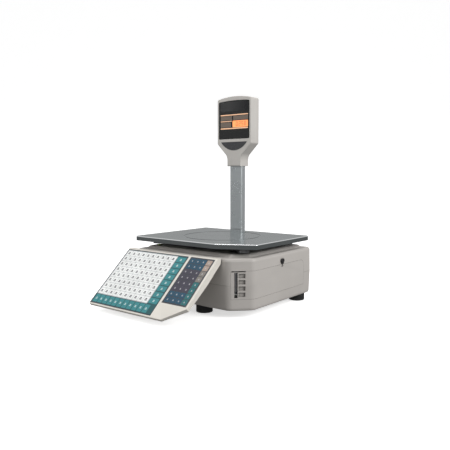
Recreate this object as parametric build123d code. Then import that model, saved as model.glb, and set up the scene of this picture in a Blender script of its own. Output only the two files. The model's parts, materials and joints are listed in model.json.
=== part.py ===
from build123d import *
import os
from math import atan2, cos, degrees, hypot, pi, radians, sin, sqrt

# A retail label-printing price scale.  Millimetres, +Z up, +X to the operator's right,
# +Y away from the operator.  The model is drawn about the weighing axis (x = y = 0 at the
# middle of the platter, z = 0 on the counter) and moved at the end so that the origin is the
# middle of the bottom of the whole object's box.

# ---- Driving dimensions ----
SEAM = 0.4              # visible gap round the drawer front
RUN = 0.4               # gap between pieces that move past each other
PIN_FIT = 0.05          # radial clearance of a shaft in its hole

# Feet
FOOT_R = 20.0
FOOT_H = 18.0           # counter to underside of the housing
FOOT_STUD_R = 4.0
FOOT_TRAVEL = 6.0
FOOT_THREAD_LEFT = 8.0  # stud still in its boss when the foot is fully lowered
FOOT_LEFT_X = -140.0
FOOT_FRONT_X = 38.0
FOOT_REAR_X = 146.0
FOOT_FRONT_Y = -116.0
FOOT_REAR_Y = 130.0
BOSS_WALL = 4.5

# Housing
BODY_W = 342.0
BODY_FRONT = -140.0
BODY_REAR = 160.0
BODY_CUT = 44.0         # 45 degree corner at the front right
PARTING_Z = 76.0
WALL = 2.6
DRAFT_LOW = 2.0         # the walls lean in by this from the parting line down
DRAFT_HIGH = 1.2        # and by this from the parting line up to the shoulder
CORNER_R = 9.0
CUT_CORNER_R = 24.0     # the two corners either side of the 45 degree one
PARTING_STEP = 0.6      # depth of the groove between pan and cover
EDGE_R = 6.0

# Printer drawer
DOOR_LOW = 45.0
DOOR_HEADROOM = 2.3     # above the labels
DOOR_REAR = 121.0
DOOR_CORNER_EDGE = 4.6  # its front edge, in X from where the 45 degree corner starts
DOOR_CORNER_R = 14.0
DOOR_WALL = 3.0
DRAWER_TRAVEL = 100.0
TRAY_LEFT = 44.0
TRAY_T = 2.0
TRAY_SIDE_GAP = 5.0     # tray to the drawer opening, each side
RAIL_W = 10.0
RAIL_INSET = 34.0       # rail centre in from the tray's edge
SHOE_LEN = 14.0
SHOE_WALL = 2.5
SLOT_W = 7.5            # label exit
POCKET_COUNT = 4
POCKET_H = 10.0
POCKET_DEPTH = 5.0
POCKET_SKIN = 1.6       # plastic left behind the pockets
POCKET_W = 15.5
POCKET_SHARE = 0.286    # pocket pitch as a share of the label width

# Printer mechanism
MEDIA_W = 50.0
PLATE_T = 2.0
GEAR_T = 4.0
MODULE = 1.0
PINION_TEETH = 14
PLATEN_TEETH = 30
TAKE_UP_TEETH = 50
MESH_GAP = 0.12         # centre distance beyond the pitch circles' sum
PLATEN_R = 8.0
SHAFT_R = 3.0
MOTOR_R = 12.5
MOTOR_H = 20.0
ROLL_R = 48.0
CORE_R = 20.0
CORE_WALL = 1.5
SPOOL_R = 13.0
HEAD_T = 8.0
HEAD_LEN = 18.0
HEAD_OPEN = 12.0        # degrees

# Latch
LATCH_Y = 19.0
LATCH_ABOVE_DOOR = 9.5
LATCH_W = 15.0
LATCH_H = 9.5
LATCH_TAIL_W = 9.0
LATCH_TAIL_GAP = 1.6
LATCH_PUSH = 3.0
LATCH_PROUD = 2.0

# Platter and its support
PLATTER_W = 350.0
PLATTER_D = 280.0
PLATTER_ABOVE = 24.4    # its top above the cover's platform
PLATTER_SKIRT = 11.8
PLATTER_T = 1.2
PLATTER_CUT_X = 86.0
PLATTER_CUT_Y = 45.0
PLATTER_R = 7.0
PLATTER_EDGE_R = 2.5
RING_R = 97.0
RING_W = 5.0
RING_DROP = 0.5
ARM_W = 24.0
ARM_T = 8.0
ARM_X = 138.0
ARM_Y = 95.0
SUPPORT_LIFT = 4.0      # arms above the cover's raised platform
COLUMN_R = 20.0
COLUMN_GAP = 8.0
BUMPER_R = 9.0
WEIGH_TRAVEL = 0.6

# Load cell
CELL_L = 130.0
CELL_W = 34.0
CELL_H = 32.0
CELL_FOOT = 34.0        # length held at each end
CHASSIS_T = 2.5
CHASSIS_LIFT = 4.0      # above the pan's floor
CELL_LIFT = 6.0         # spacer under the fixed end

# Keyboard
KEY_TOP_Y = -152.0
KEY_BELOW_TOP = 0.6     # its upper edge below the cover's flat rim
KEY_SLOPE = 41.9        # degrees from level
KEY_LEN = 177.7
KEY_LEFT = -184.4
KEY_RIGHT = 108.3
KEY_CUT_X = 50.0
KEY_CUT_V = 37.8
KEY_T = 16.0
KEY_LIP = 6.5
KEY_BREAK = 60.0        # full thickness down to here, then thinner
KEY_SPLIT = 0.5         # share of the thickness in the upper shell
KEY_WALL = 2.2
KEY_RIM_R = 1.2
KEY_JOIN_GAP = 0.4
PLU_X = (KEY_LEFT + 1.4, 24.0)
PLU_V = (3.0, KEY_LEN - 4.2)
FUNCTION_X = (31.0, KEY_RIGHT - 5.3)
FUNCTION_V = (3.0, KEY_LEN - 41.7)
OVERLAY_T = 0.5
OVERLAY_GAP = 0.15

# Pole and display head
POLE_X = -83.0
POLE_Y = 176.0
POLE_W = 42.0
POLE_D = 22.0
POLE_R = 5.0
POLE_WALL = 2.0
POLE_LOW = 30.0
POLE_IN_HEAD = 26.0
CABLE_Z = 86.0            # where the display cable leaves the housing
HEAD_W = 121.5
HEAD_D = 38.0
HEAD_NECK_Z = 350.0
HEAD_NECK_WALL = 3.6
HEAD_FLARE_HALF = 31.0
HEAD_CURVE_Z = HEAD_NECK_Z + 16.0
HEAD_FLARE_Z = HEAD_NECK_Z + 34.0
HEAD_SIDE_Z = HEAD_NECK_Z + 64.0
HEAD_SHOULDER_Z = HEAD_NECK_Z + 191.0
HEAD_TOP = HEAD_NECK_Z + 198.0
HEAD_WALL = 2.6
HEAD_EDGE = 3.0         # how far its edges are rounded over
HEAD_CORNER_R = 6.0
WINDOW_W = HEAD_W - 12.0
WINDOW_LOW = HEAD_NECK_Z + 77.5
WINDOW_SIDE_Z = HEAD_NECK_Z + 183.0
WINDOW_TOP = HEAD_NECK_Z + 186.0
WINDOW_T = 2.0
WINDOW_R = 4.0
CRESCENT_R = 57.0
CRESCENT_LOW = HEAD_NECK_Z + 45.0
CRESCENT_H = 24.0
GLAZING_GAP = 0.2
LCD_T = 6.0
BOARD_T = 1.6

# ---- Worked out from the driving dimensions ----
BODY_HALF = BODY_W / 2
DOOR_FRONT_X = BODY_HALF - BODY_CUT + DOOR_CORNER_EDGE
FLOOR_TOP = FOOT_H + WALL
DIAG = 1 / sqrt(2)
TRAY_FRONT = BODY_FRONT + 16.0
TRAY_REAR = DOOR_REAR - TRAY_SIDE_GAP
TRAY_LOW = DOOR_LOW + 1.2
TRAY_TOP = TRAY_LOW + TRAY_T
GEAR_LOW = TRAY_TOP + 1.0
PLATE_LOW = GEAR_LOW + GEAR_T + 1.0
MEDIA_LOW = PLATE_LOW + PLATE_T + 1.0
MEDIA_TOP = MEDIA_LOW + MEDIA_W
DOOR_TOP = MEDIA_TOP + DOOR_HEADROOM
LATCH_Z = DOOR_TOP + LATCH_ABOVE_DOOR
SHOULDER_Z = DOOR_TOP + 21.5
BODY_TOP = SHOULDER_Z + 7.0
PLATFORM_TOP = BODY_TOP + 7.0   # raised middle of the cover, under the platter
PLATTER_TOP = PLATFORM_TOP + PLATTER_ABOVE
KEY_TOP_Z = BODY_TOP - KEY_BELOW_TOP
SUPPORT_LOW = PLATFORM_TOP + SUPPORT_LIFT
CHASSIS_TOP = FLOOR_TOP + CHASSIS_LIFT + CHASSIS_T
CELL_LOW = CHASSIS_TOP + CELL_LIFT
CELL_TOP = CELL_LOW + CELL_H


# ---- Small makers ----
def block(x0, x1, y0, y1, z0, z1):
    """A box between two corners."""
    return Pos((x0 + x1) / 2, (y0 + y1) / 2, (z0 + z1) / 2) * Box(x1 - x0, y1 - y0, z1 - z0)


def post(x, y, radius, z0, z1):
    """A cylinder standing on (x, y)."""
    return Pos(x, y, (z0 + z1) / 2) * Cylinder(radius, z1 - z0)


def tube(x, y, outer, inner, z0, z1):
    return post(x, y, outer, z0, z1) - post(x, y, inner, z0 - 1, z1 + 1)


def rod(start, direction, radius, length):
    """A cylinder from a point along a direction."""
    return Plane(origin=start, z_dir=direction) * Pos(0, 0, length / 2) * Cylinder(radius, length)


def flat(points, corner=0.0):
    """A face with the given corners, all rounded by the same radius."""
    face = make_face(Polyline(*points, close=True))
    if corner > 0:
        face = fillet(face.vertices(), corner)
    return face


def prism(points, z0, z1, corner=0.0):
    return extrude(Pos(0, 0, z0) * flat(points, corner), amount=z1 - z0, dir=(0, 0, 1))


def pan_screw(point, direction, shank, head, length, head_t=2.2):
    """A screw whose head starts at the point and whose shank runs along the direction."""
    heading = Vector(*direction).normalized()
    neck = Vector(*point) + heading * head_t
    return rod(point, direction, head, head_t) + rod(neck, direction, shank, length)


def solids_together(shapes):
    """Separate solids in one node."""
    return Compound([solid for shape in shapes for solid in shape.solids()])


# ---- Housing ----
def housing_outline(inset, z):
    """The housing's plan: a rectangle with one 45 degree corner, at a distance inside its wall."""
    left = -BODY_HALF + inset
    right = BODY_HALF - inset
    front = BODY_FRONT + inset
    rear = BODY_REAR - inset
    cut = BODY_HALF - BODY_CUT - BODY_FRONT - inset / DIAG
    points = [(left, front), (front + cut, front), (right, right - cut), (right, rear), (left, rear)]
    face = flat(points)
    softer = [corner for corner in face.vertices() if corner.X > front + cut - 1 and corner.Y < right - cut + 1]
    face = fillet(softer, max(CUT_CORNER_R - inset, 1.0))
    sharper = face.vertices().group_by(Axis.Y)[-1] + face.vertices().sort_by(lambda v: v.X + v.Y)[:1]
    return Pos(0, 0, z) * fillet(sharper, max(CORNER_R - inset, 1.0))


def lofted(layers):
    """A solid through several plan outlines, each given as (inset, z)."""
    faces = [housing_outline(inset, z) for inset, z in layers]
    spans = [loft([low, high], ruled=True) for low, high in zip(faces, faces[1:])]
    whole = spans[0]
    for span in spans[1:]:
        whole = whole + span
    return whole


def lower_layers(inset, low):
    return [(inset + DRAFT_LOW + EDGE_R * 0.6, low), (inset + DRAFT_LOW + EDGE_R * 0.2, low + EDGE_R * 0.3),
            (inset + DRAFT_LOW, low + EDGE_R), (inset, PARTING_Z - 1.2 * PARTING_STEP),
            (inset + PARTING_STEP, PARTING_Z)]


def upper_layers(inset, high):
    return [(inset + PARTING_STEP, PARTING_Z), (inset, PARTING_Z + 1.2 * PARTING_STEP),
            (inset + DRAFT_HIGH, SHOULDER_Z), (inset + DRAFT_HIGH + 1.2, high - 3.0),
            (inset + DRAFT_HIGH + 3.2, high - 0.8), (inset + DRAFT_HIGH + 5.6, high)]


def platform_layers(inset, high):
    rise = PLATFORM_TOP - BODY_TOP
    return [(inset + 18.0, high - 2.0), (inset + 18.5, high), (inset + 25.0, high + rise - 1.0),
            (inset + 28.0, high + rise)]


def door_region(gap):
    """The space the drawer front fills, grown by a gap, over the 45 degree corner and right side."""
    low = DOOR_LOW - gap
    top = DOOR_TOP + gap
    rear = DOOR_REAR + gap
    side = Plane(origin=(DOOR_FRONT_X - gap, 0, 0), x_dir=(0, 1, 0), z_dir=(1, 0, 0))
    corners = [(BODY_FRONT - 5, low), (rear, low), (rear, top), (BODY_FRONT - 5, top)]
    face = flat(corners)
    upper_rear = face.vertices().sort_by(lambda v: v.X + v.Y)[-1]
    face = fillet(upper_rear, DOOR_CORNER_R + gap)
    return extrude(side * face, amount=BODY_HALF + 10 - DOOR_FRONT_X, dir=(1, 0, 0))


def foot_places():
    return {"front_left": (FOOT_LEFT_X, FOOT_FRONT_Y), "front_right": (FOOT_FRONT_X, FOOT_FRONT_Y),
            "rear_left": (FOOT_LEFT_X, FOOT_REAR_Y), "rear_right": (FOOT_REAR_X, FOOT_REAR_Y)}


COVER_SCREW_R = 1.8
COVER_POST_R = 4.5
COVER_POST_SPLIT = 44.0
COVER_POSTS = [(-BODY_HALF + 17, BODY_FRONT + 12), (70.0, BODY_FRONT + 9),
               (-BODY_HALF + 17, BODY_REAR - 13), (BODY_HALF - 17, BODY_REAR - 13)]
FOOT_BOSS_TOP = FOOT_H + 22.0
CHASSIS_X = (-148.0, 36.0)
CHASSIS_Y = (-104.0, 116.0)
CHASSIS_SCREW_R = 2.0
CHASSIS_POSTS = [(CHASSIS_X[0] + 8, CHASSIS_Y[0] + 22), (CHASSIS_X[1] - 8, CHASSIS_Y[0] + 22),
                 (CHASSIS_X[0] + 8, CHASSIS_Y[1] - 8), (CHASSIS_X[1] - 8, CHASSIS_Y[1] - 8)]
INLET_X = 10.0
INLET_Z = 46.0
INLET_W = 28.0
INLET_H = 21.0
SWITCH_X = 55.0
SWITCH_W = 22.0
SWITCH_H = 31.0
BEZEL_EDGE = 2.0
BEZEL_T = 1.5
TRUNNION_R = 1.8
TRUNNION_LEN = 1.2
ROCKER_TILT = 9.0        # degrees between its two positions


def wall_window(x, z, width, height):
    """A hole through the rear wall."""
    return block(x - width / 2, x + width / 2, BODY_REAR - 12, BODY_REAR + 5, z - height / 2, z + height / 2)


def base_pan():
    """Lower housing: floor and walls up to the parting line, with bosses inside."""
    pan = lofted(lower_layers(0.0, FOOT_H))
    cavity = lofted([(inset + WALL, z) for inset, z in lower_layers(0.0, FOOT_H + WALL)])
    pan = pan - cavity
    for x, y in foot_places().values():
        pan = pan + post(x, y, FOOT_STUD_R + BOSS_WALL, FOOT_H + 1, FOOT_BOSS_TOP)
    for x, y in COVER_POSTS:
        pan = pan + post(x, y, COVER_POST_R, FOOT_H + 1, COVER_POST_SPLIT)
    for x, y in CHASSIS_POSTS:
        pan = pan + tube(x, y, COVER_POST_R, CHASSIS_SCREW_R - 0.3, FLOOR_TOP - 0.5, FLOOR_TOP + CHASSIS_LIFT)
    for x, y in foot_places().values():
        pan = pan - post(x, y, FOOT_STUD_R + PIN_FIT, FOOT_H - 1, FOOT_BOSS_TOP + 1)
    for x, y in COVER_POSTS:
        pan = pan - post(x, y, COVER_SCREW_R + 0.2, FOOT_H - 1, COVER_POST_SPLIT + 1)
        pan = pan - post(x, y, COVER_POST_R - 1.2, FOOT_H - 1, FOOT_H + 5)
    pan = pan - door_region(SEAM)
    pan = pan - wall_window(INLET_X, INLET_Z, INLET_W, INLET_H)
    pan = pan - wall_window(SWITCH_X, INLET_Z, SWITCH_W, SWITCH_H)
    return pan


def latch_face(gap):
    """The latch seen from the side: an oval thumb pad with a tail down towards the drawer."""
    oval = SlotOverall(LATCH_W + 2 * gap, LATCH_H + 2 * gap)
    low = DOOR_TOP + LATCH_TAIL_GAP - LATCH_Z - gap
    tail = Pos(0, low / 2) * Rectangle(LATCH_TAIL_W + 2 * gap, -low)
    return oval + tail


def latch_hole(gap):
    """The hole for the latch in the right wall, grown by a gap."""
    side = Plane(origin=(BODY_HALF - 8, LATCH_Y, LATCH_Z), x_dir=(0, 1, 0), z_dir=(1, 0, 0))
    return extrude(side * latch_face(gap), amount=16, dir=(1, 0, 0))


def top_cover():
    """Upper housing: walls, rounded shoulder and the raised middle under the platter."""
    cover = lofted(upper_layers(0.0, BODY_TOP)) + lofted(platform_layers(0.0, BODY_TOP))
    cavity = lofted([(inset + WALL, z) for inset, z in upper_layers(0.0, BODY_TOP - WALL)])
    cavity = cavity + lofted([(inset + WALL, z - WALL) for inset, z in platform_layers(0.0, BODY_TOP)])
    cover = cover - cavity
    for x, y in COVER_POSTS:
        cover = cover + post(x, y, COVER_POST_R, COVER_POST_SPLIT, BODY_TOP - WALL + 0.5)
        cover = cover - post(x, y, COVER_SCREW_R, COVER_POST_SPLIT - 1, COVER_POST_SPLIT + 14)
    cover = cover - post(0, 0, COLUMN_R + COLUMN_GAP, BODY_TOP - 10, PLATFORM_TOP + 5)
    cover = cover - door_region(SEAM)
    cover = cover - latch_hole(PIN_FIT)
    cover = cover - post(LEVEL_X, LEVEL_Y, LEVEL_R + PIN_FIT, PLATFORM_TOP - LEVEL_T, PLATFORM_TOP + 5)
    return cover


def cover_screws():
    return solids_together([pan_screw((x, y, FOOT_H + 2.6), (0, 0, 1), COVER_SCREW_R, COVER_POST_R - 1.4, 34.0)
                            for x, y in COVER_POSTS])


def foot_stud(x, y):
    low = post(x, y, FOOT_STUD_R * 1.9, 5.0, 9.0)
    return low + post(x, y, FOOT_STUD_R, 9.0, FOOT_H + FOOT_TRAVEL + FOOT_THREAD_LEFT + 4.0)


def foot_pad(x, y):
    """A rubber disc with ribs round its edge, moulded over the stud's flange."""
    pad = post(x, y, FOOT_R, 0, FOOT_H - 0.5)
    lower_edge = pad.edges().sort_by(Axis.Z)[0]
    pad = fillet(lower_edge, 2.0)
    rib_count = 36
    rib_r = 0.9
    for index in range(rib_count):
        angle = 2 * pi * index / rib_count
        pad = pad - post(x + FOOT_R * cos(angle), y + FOOT_R * sin(angle), rib_r, 5.0, FOOT_H)
    return pad - foot_stud(x, y)


# ---- Inside the housing ----
def chassis_plate():
    plate = block(*CHASSIS_X, *CHASSIS_Y, CHASSIS_TOP - CHASSIS_T, CHASSIS_TOP)
    for x, y in CHASSIS_POSTS:
        plate = plate - post(x, y, CHASSIS_SCREW_R + 0.3, CHASSIS_TOP - 5, CHASSIS_TOP + 1)
    return plate


def chassis_screws():
    return solids_together([pan_screw((x, y, CHASSIS_TOP + 2.0), (0, 0, -1), CHASSIS_SCREW_R - 0.35, 3.6, 5.0, 2.0)
                            for x, y in CHASSIS_POSTS])


CELL_BOLT_R = 3.0
CELL_BOLT_SPREAD = 18.0


def cell_bolt_places(side):
    middle = side * (CELL_L - CELL_FOOT) / 2
    return [(x, middle + y) for x in (-CELL_BOLT_SPREAD / 2, CELL_BOLT_SPREAD / 2)
            for y in (-CELL_BOLT_SPREAD / 2, CELL_BOLT_SPREAD / 2)]


def load_cell():
    """A single-point aluminium cell: a bar with a wide opening that leaves two thin beams."""
    cell = block(-CELL_W / 2, CELL_W / 2, -CELL_L / 2, CELL_L / 2, CELL_LOW, CELL_TOP)
    hole_r = CELL_H / 2 - 5.0
    hole_half = CELL_L / 2 - CELL_FOOT - hole_r * 0.6
    middle_z = (CELL_LOW + CELL_TOP) / 2
    for y in (-hole_half, hole_half):
        cell = cell - rod((-CELL_W, y, middle_z), (1, 0, 0), hole_r, 2 * CELL_W)
    cell = cell - block(-CELL_W, CELL_W, -hole_half, hole_half, middle_z - hole_r * 0.6, middle_z + hole_r * 0.6)
    cell = cell + block(-CELL_W / 2, CELL_W / 2, -CELL_L / 2, -CELL_L / 2 + CELL_FOOT, CHASSIS_TOP, CELL_LOW)
    for x, y in cell_bolt_places(-1):
        cell = cell - post(x, y, CELL_BOLT_R, CHASSIS_TOP - 1, CHASSIS_TOP + 14)
    for x, y in cell_bolt_places(1):
        cell = cell - post(x, y, CELL_BOLT_R, CELL_TOP - 14, CELL_TOP + 1)
    return cell


def drilled_for_cell(plate):
    for x, y in cell_bolt_places(-1):
        plate = plate - post(x, y, CELL_BOLT_R + 0.2, CHASSIS_TOP - 5, CHASSIS_TOP + 1)
    return plate


def load_cell_bolts():
    return solids_together([pan_screw((x, y, CHASSIS_TOP - CHASSIS_T - 2.5), (0, 0, 1), CELL_BOLT_R - 0.05, 5.0,
                                      CHASSIS_T + 12.0, 2.5) for x, y in cell_bolt_places(-1)])


def main_board():
    """The controller board with its chips, capacitors and connectors."""
    left = CHASSIS_X[0] + 16
    right = -CELL_W / 2 - 12
    low = CHASSIS_TOP + 6
    board = block(left, right, CHASSIS_Y[0] + 30, 50, low, low + BOARD_T)
    for x in (left + 6, right - 6):
        for y in (CHASSIS_Y[0] + 36, 44):
            board = board + post(x, y, 3.0, CHASSIS_TOP, low)
    top = low + BOARD_T
    board = board + block(left + 14, left + 42, -40, -12, top, top + 2.2)
    board = board + block(left + 52, left + 72, -50, -36, top, top + 1.4)
    board = board + block(left + 10, left + 40, 20, 32, top, top + 9)
    for index in range(4):
        board = board + post(left + 56 + index * 9, 10, 3.6, top, top + 10)
    return board


def power_supply():
    """A vented steel box on the chassis plate, behind the main board."""
    left = CHASSIS_X[0] + 18
    supply = block(left, left + 104, 60, 104, CHASSIS_TOP, CHASSIS_TOP + 32)
    for index in range(9):
        x = left + 16 + index * 9
        supply = supply - block(x, x + 4, 66, 98, CHASSIS_TOP + 31, CHASSIS_TOP + 33)
    return supply


def power_inlet():
    """A three-pin appliance inlet let into the rear wall."""
    low = INLET_Z - INLET_H / 2 + 0.2
    high = INLET_Z + INLET_H / 2 - 0.2
    rear = BODY_REAR
    half = INLET_W / 2 - 0.2
    inlet = block(INLET_X - half, INLET_X + half, rear - 24, rear, low, high)
    inlet = inlet + block(INLET_X - half - 3, INLET_X + half + 3, rear, rear + 2.5, low - 2, high + 2)
    inlet = inlet - block(INLET_X - half + 2, INLET_X + half - 2, rear - 16, rear + 4, low + 2, high - 2)
    for offset, rise in ((-7.0, 1.0), (0.0, -4.0), (7.0, 1.0)):
        inlet = inlet + block(INLET_X + offset - 1, INLET_X + offset + 1, rear - 17, rear - 2,
                              INLET_Z + rise - 2, INLET_Z + rise + 2)
    return inlet


def switch_bezel():
    half_w = SWITCH_W / 2 - 0.2
    half_h = SWITCH_H / 2 - 0.2
    bezel = block(SWITCH_X - half_w, SWITCH_X + half_w, BODY_REAR - 18, BODY_REAR, INLET_Z - half_h, INLET_Z + half_h)
    bezel = bezel + block(SWITCH_X - half_w - BEZEL_EDGE, SWITCH_X + half_w + BEZEL_EDGE, BODY_REAR,
                          BODY_REAR + BEZEL_T, INLET_Z - half_h - BEZEL_EDGE, INLET_Z + half_h + BEZEL_EDGE)
    inner_w = half_w - BEZEL_EDGE
    inner_h = half_h - BEZEL_EDGE
    bezel = bezel - block(SWITCH_X - inner_w, SWITCH_X + inner_w, BODY_REAR - 14, BODY_REAR + 4,
                          INLET_Z - inner_h, INLET_Z + inner_h)
    reach = inner_w + TRUNNION_LEN + PIN_FIT
    return bezel - rod((SWITCH_X - reach, ROCKER_PIVOT_Y, INLET_Z), (1, 0, 0), TRUNNION_R + PIN_FIT, 2 * reach)


ROCKER_PIVOT_Y = BODY_REAR - 4.0


def power_rocker():
    """A rocker with two faces that meet at a shallow angle over its pivot."""
    half_w = SWITCH_W / 2 - 0.2 - BEZEL_EDGE - RUN
    half_h = SWITCH_H / 2 - 0.2 - BEZEL_EDGE - 1.8
    proud = 3.6
    profile = [(ROCKER_PIVOT_Y - 4, INLET_Z - half_h + 1), (BODY_REAR - 0.5, INLET_Z - half_h),
               (BODY_REAR + 0.6, INLET_Z), (BODY_REAR + proud, INLET_Z + half_h),
               (ROCKER_PIVOT_Y - 4, INLET_Z + half_h - 2)]
    side = Plane(origin=(SWITCH_X - half_w, 0, 0), x_dir=(0, 1, 0), z_dir=(1, 0, 0))
    rocker = extrude(side * flat(profile), amount=2 * half_w, dir=(1, 0, 0))
    reach = half_w + RUN + TRUNNION_LEN
    return rocker + rod((SWITCH_X - reach, ROCKER_PIVOT_Y, INLET_Z), (1, 0, 0), TRUNNION_R, 2 * reach)


LEVEL_X = -128.0
LEVEL_Y = -97.0
LEVEL_R = 8.0
LEVEL_T = 2.0


def bubble_level():
    """A round level let into the cover; the platter lifts off to read it."""
    dish = post(LEVEL_X, LEVEL_Y, LEVEL_R, PLATFORM_TOP - LEVEL_T, PLATFORM_TOP + 2.0)
    return dish - tube(LEVEL_X, LEVEL_Y, LEVEL_R - 2.4, LEVEL_R - 3.0, PLATFORM_TOP + 1.5, PLATFORM_TOP + 3.0)


# ---- Platter and its support ----
def platter_outline(inset, z):
    half_w = PLATTER_W / 2 - inset
    half_d = PLATTER_D / 2 - inset
    diagonal = hypot(PLATTER_CUT_X, PLATTER_CUT_Y)
    shift_x = inset * (diagonal - PLATTER_CUT_Y) / PLATTER_CUT_X
    shift_y = inset * (diagonal - PLATTER_CUT_X) / PLATTER_CUT_Y
    cut_x = PLATTER_W / 2 - PLATTER_CUT_X - shift_y * PLATTER_CUT_X / PLATTER_CUT_X
    cut_y = -PLATTER_D / 2 + PLATTER_CUT_Y + shift_x
    points = [(-half_w, -half_d), (cut_x, -half_d), (half_w, cut_y), (half_w, half_d), (-half_w, half_d)]
    return Pos(0, 0, z) * flat(points, max(PLATTER_R - inset, 1.0))


def platter():
    """A pressed stainless tray turned upside down, with a faint ring pressed into its top."""
    low = PLATTER_TOP - PLATTER_SKIRT
    pan = extrude(platter_outline(0.0, low), amount=PLATTER_SKIRT, dir=(0, 0, 1))
    pan = fillet(pan.edges().group_by(Axis.Z)[-1], PLATTER_EDGE_R)
    pan = pan - extrude(platter_outline(PLATTER_T, low - 1), amount=PLATTER_SKIRT - PLATTER_T + 1, dir=(0, 0, 1))
    groove = tube(0, 0, RING_R + RING_W / 2, RING_R - RING_W / 2, PLATTER_TOP - RING_DROP, PLATTER_TOP + 2)
    return pan - groove


def arm(angle, length):
    bar = block(0, length, -ARM_W / 2, ARM_W / 2, SUPPORT_LOW, SUPPORT_LOW + ARM_T)
    return Rot(0, 0, angle) * bar


def bumper_places():
    return [(ARM_X * sx, ARM_Y * sy) for sx in (-1, 1) for sy in (-1, 1)]


def platter_support():
    """A cast spider: a column on the load cell's free end and four arms to the platter's corners."""
    free_y = (CELL_L - CELL_FOOT) / 2
    hub = post(0, 0, COLUMN_R + 4, SUPPORT_LOW - 2, SUPPORT_LOW + ARM_T)
    column = post(0, 0, COLUMN_R, CELL_TOP + 5, SUPPORT_LOW)
    foot = block(-CELL_W / 2, CELL_W / 2, -COLUMN_R, free_y + CELL_FOOT / 2, CELL_TOP + 5, CELL_TOP + 13)
    pad = block(-CELL_W / 2, CELL_W / 2, free_y - CELL_FOOT / 2, free_y + CELL_FOOT / 2, CELL_TOP, CELL_TOP + 13)
    spider = hub + column + foot + pad
    for x, y in bumper_places():
        spider = spider + arm(degrees(atan2(y, x)), hypot(x, y) + ARM_W / 3)
        spider = spider + post(x, y, BUMPER_R + 3, SUPPORT_LOW, SUPPORT_LOW + ARM_T)
    for x, y in cell_bolt_places(1):
        spider = spider - post(x, y, CELL_BOLT_R + 0.2, CELL_TOP - 1, CELL_TOP + 14)
    return spider


def support_bumpers():
    """Rubber buttons between the spider's arms and the underside of the platter."""
    under = PLATTER_TOP - PLATTER_T
    return solids_together([post(x, y, BUMPER_R, SUPPORT_LOW + ARM_T, under) for x, y in bumper_places()])


def support_bolts():
    return solids_together([pan_screw((x, y, CELL_TOP + 16.5), (0, 0, -1), CELL_BOLT_R - 0.05, 5.0, 25.0, 3.5)
                            for x, y in cell_bolt_places(1)])


# ---- Printer drawer ----
CORNER_FACE_X = BODY_HALF - BODY_CUT / 2        # middle of the 45 degree corner
CORNER_FACE_Y = BODY_FRONT + BODY_CUT / 2
SLOT_BACK = 12.0        # label exit, from the corner face's middle towards the operator
EXIT_X = CORNER_FACE_X - SLOT_BACK * DIAG
EXIT_Y = CORNER_FACE_Y - SLOT_BACK * DIAG
NIP_DEPTH = 24.0        # from the face to the line where head and platen meet


def from_exit(depth, across):
    """A point inside the corner: depth in from the face, across it towards the rear."""
    return EXIT_X - depth * DIAG + across * DIAG, EXIT_Y + depth * DIAG + across * DIAG


def polar(centre, angle, reach):
    return centre[0] + reach * cos(radians(angle)), centre[1] + reach * sin(radians(angle))


def gear_distance(first, second):
    return MODULE * (first + second) / 2 + MESH_GAP


PLATEN = from_exit(NIP_DEPTH, -PLATEN_R - 0.3)
MOTOR = polar(PLATEN, 150.0, gear_distance(PINION_TEETH, PLATEN_TEETH))
TAKE_UP = polar(MOTOR, 110.0, gear_distance(PINION_TEETH, TAKE_UP_TEETH))
ROLL = (TRAY_LEFT + ROLL_R + 13.0, TRAY_REAR - ROLL_R - 6.0)
HEAD_PIVOT = from_exit(NIP_DEPTH + HEAD_LEN + 8.0, 11.0)
PLATE_X = (TRAY_LEFT + 6, BODY_HALF - 21.0)
PLATE_Y = (TRAY_FRONT + 1.0, -38.0)


def corner_block(depth, across, z0, z1):
    """A box lined up with the 45 degree corner: ranges of depth and of across."""
    middle = from_exit((depth[0] + depth[1]) / 2, (across[0] + across[1]) / 2)
    size = Box(depth[1] - depth[0], across[1] - across[0], z1 - z0)
    return Pos(middle[0], middle[1], (z0 + z1) / 2) * Rot(0, 0, -45) * size


def drawer_front():
    """The drawer's outer wall: it follows the housing's skin over the corner and the right side."""
    layers = lower_layers(0.0, FOOT_H)[:-1] + upper_layers(0.0, BODY_TOP)[1:]
    inner = lofted([(inset + DOOR_WALL, z) for inset, z in layers])
    front = (lofted(layers) - inner) & door_region(0.0)
    middle_z = (DOOR_LOW + DOOR_TOP) / 2
    slot_h = MEDIA_W + 8.0
    front = front - corner_block((-8, 12), (-SLOT_W / 2, SLOT_W / 2), middle_z - slot_h / 2, middle_z + slot_h / 2)
    across = (SLOT_W / 2 + 2.2, SLOT_W / 2 + 2.2 + POCKET_W)
    backing = (across[0] - 1.0, across[1] + POCKET_SKIN)
    thick = (DOOR_WALL / 2, POCKET_DEPTH + POCKET_SKIN)
    front = front + corner_block(thick, backing, TRAY_TOP + RUN, DOOR_TOP - 3.5)
    for index in range(POCKET_COUNT):
        z = middle_z + (index - (POCKET_COUNT - 1) / 2) * POCKET_SHARE * MEDIA_W
        front = front - corner_block((-8, POCKET_DEPTH), across, z - POCKET_H / 2, z + POCKET_H / 2)
    top_gap = corner_block((-8, 12), (-14.0, 22.0), DOOR_TOP - 2.2, DOOR_TOP + 2)
    front = front - top_gap
    half = LATCH_TAIL_W / 2
    notch = block(BODY_HALF - 2.4, BODY_HALF + 4, LATCH_Y - half, LATCH_Y + half, DOOR_TOP - 5.5, DOOR_TOP + 2)
    front = front - notch
    inside = BODY_HALF - DOOR_WALL - 0.5
    for y in (TRAY_REAR - 20, 0.0, -70.0):
        front = front + block(inside - 4, inside + 1, y - 8, y + 8, TRAY_LOW - 0.6, TRAY_LOW)
    return front


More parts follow.
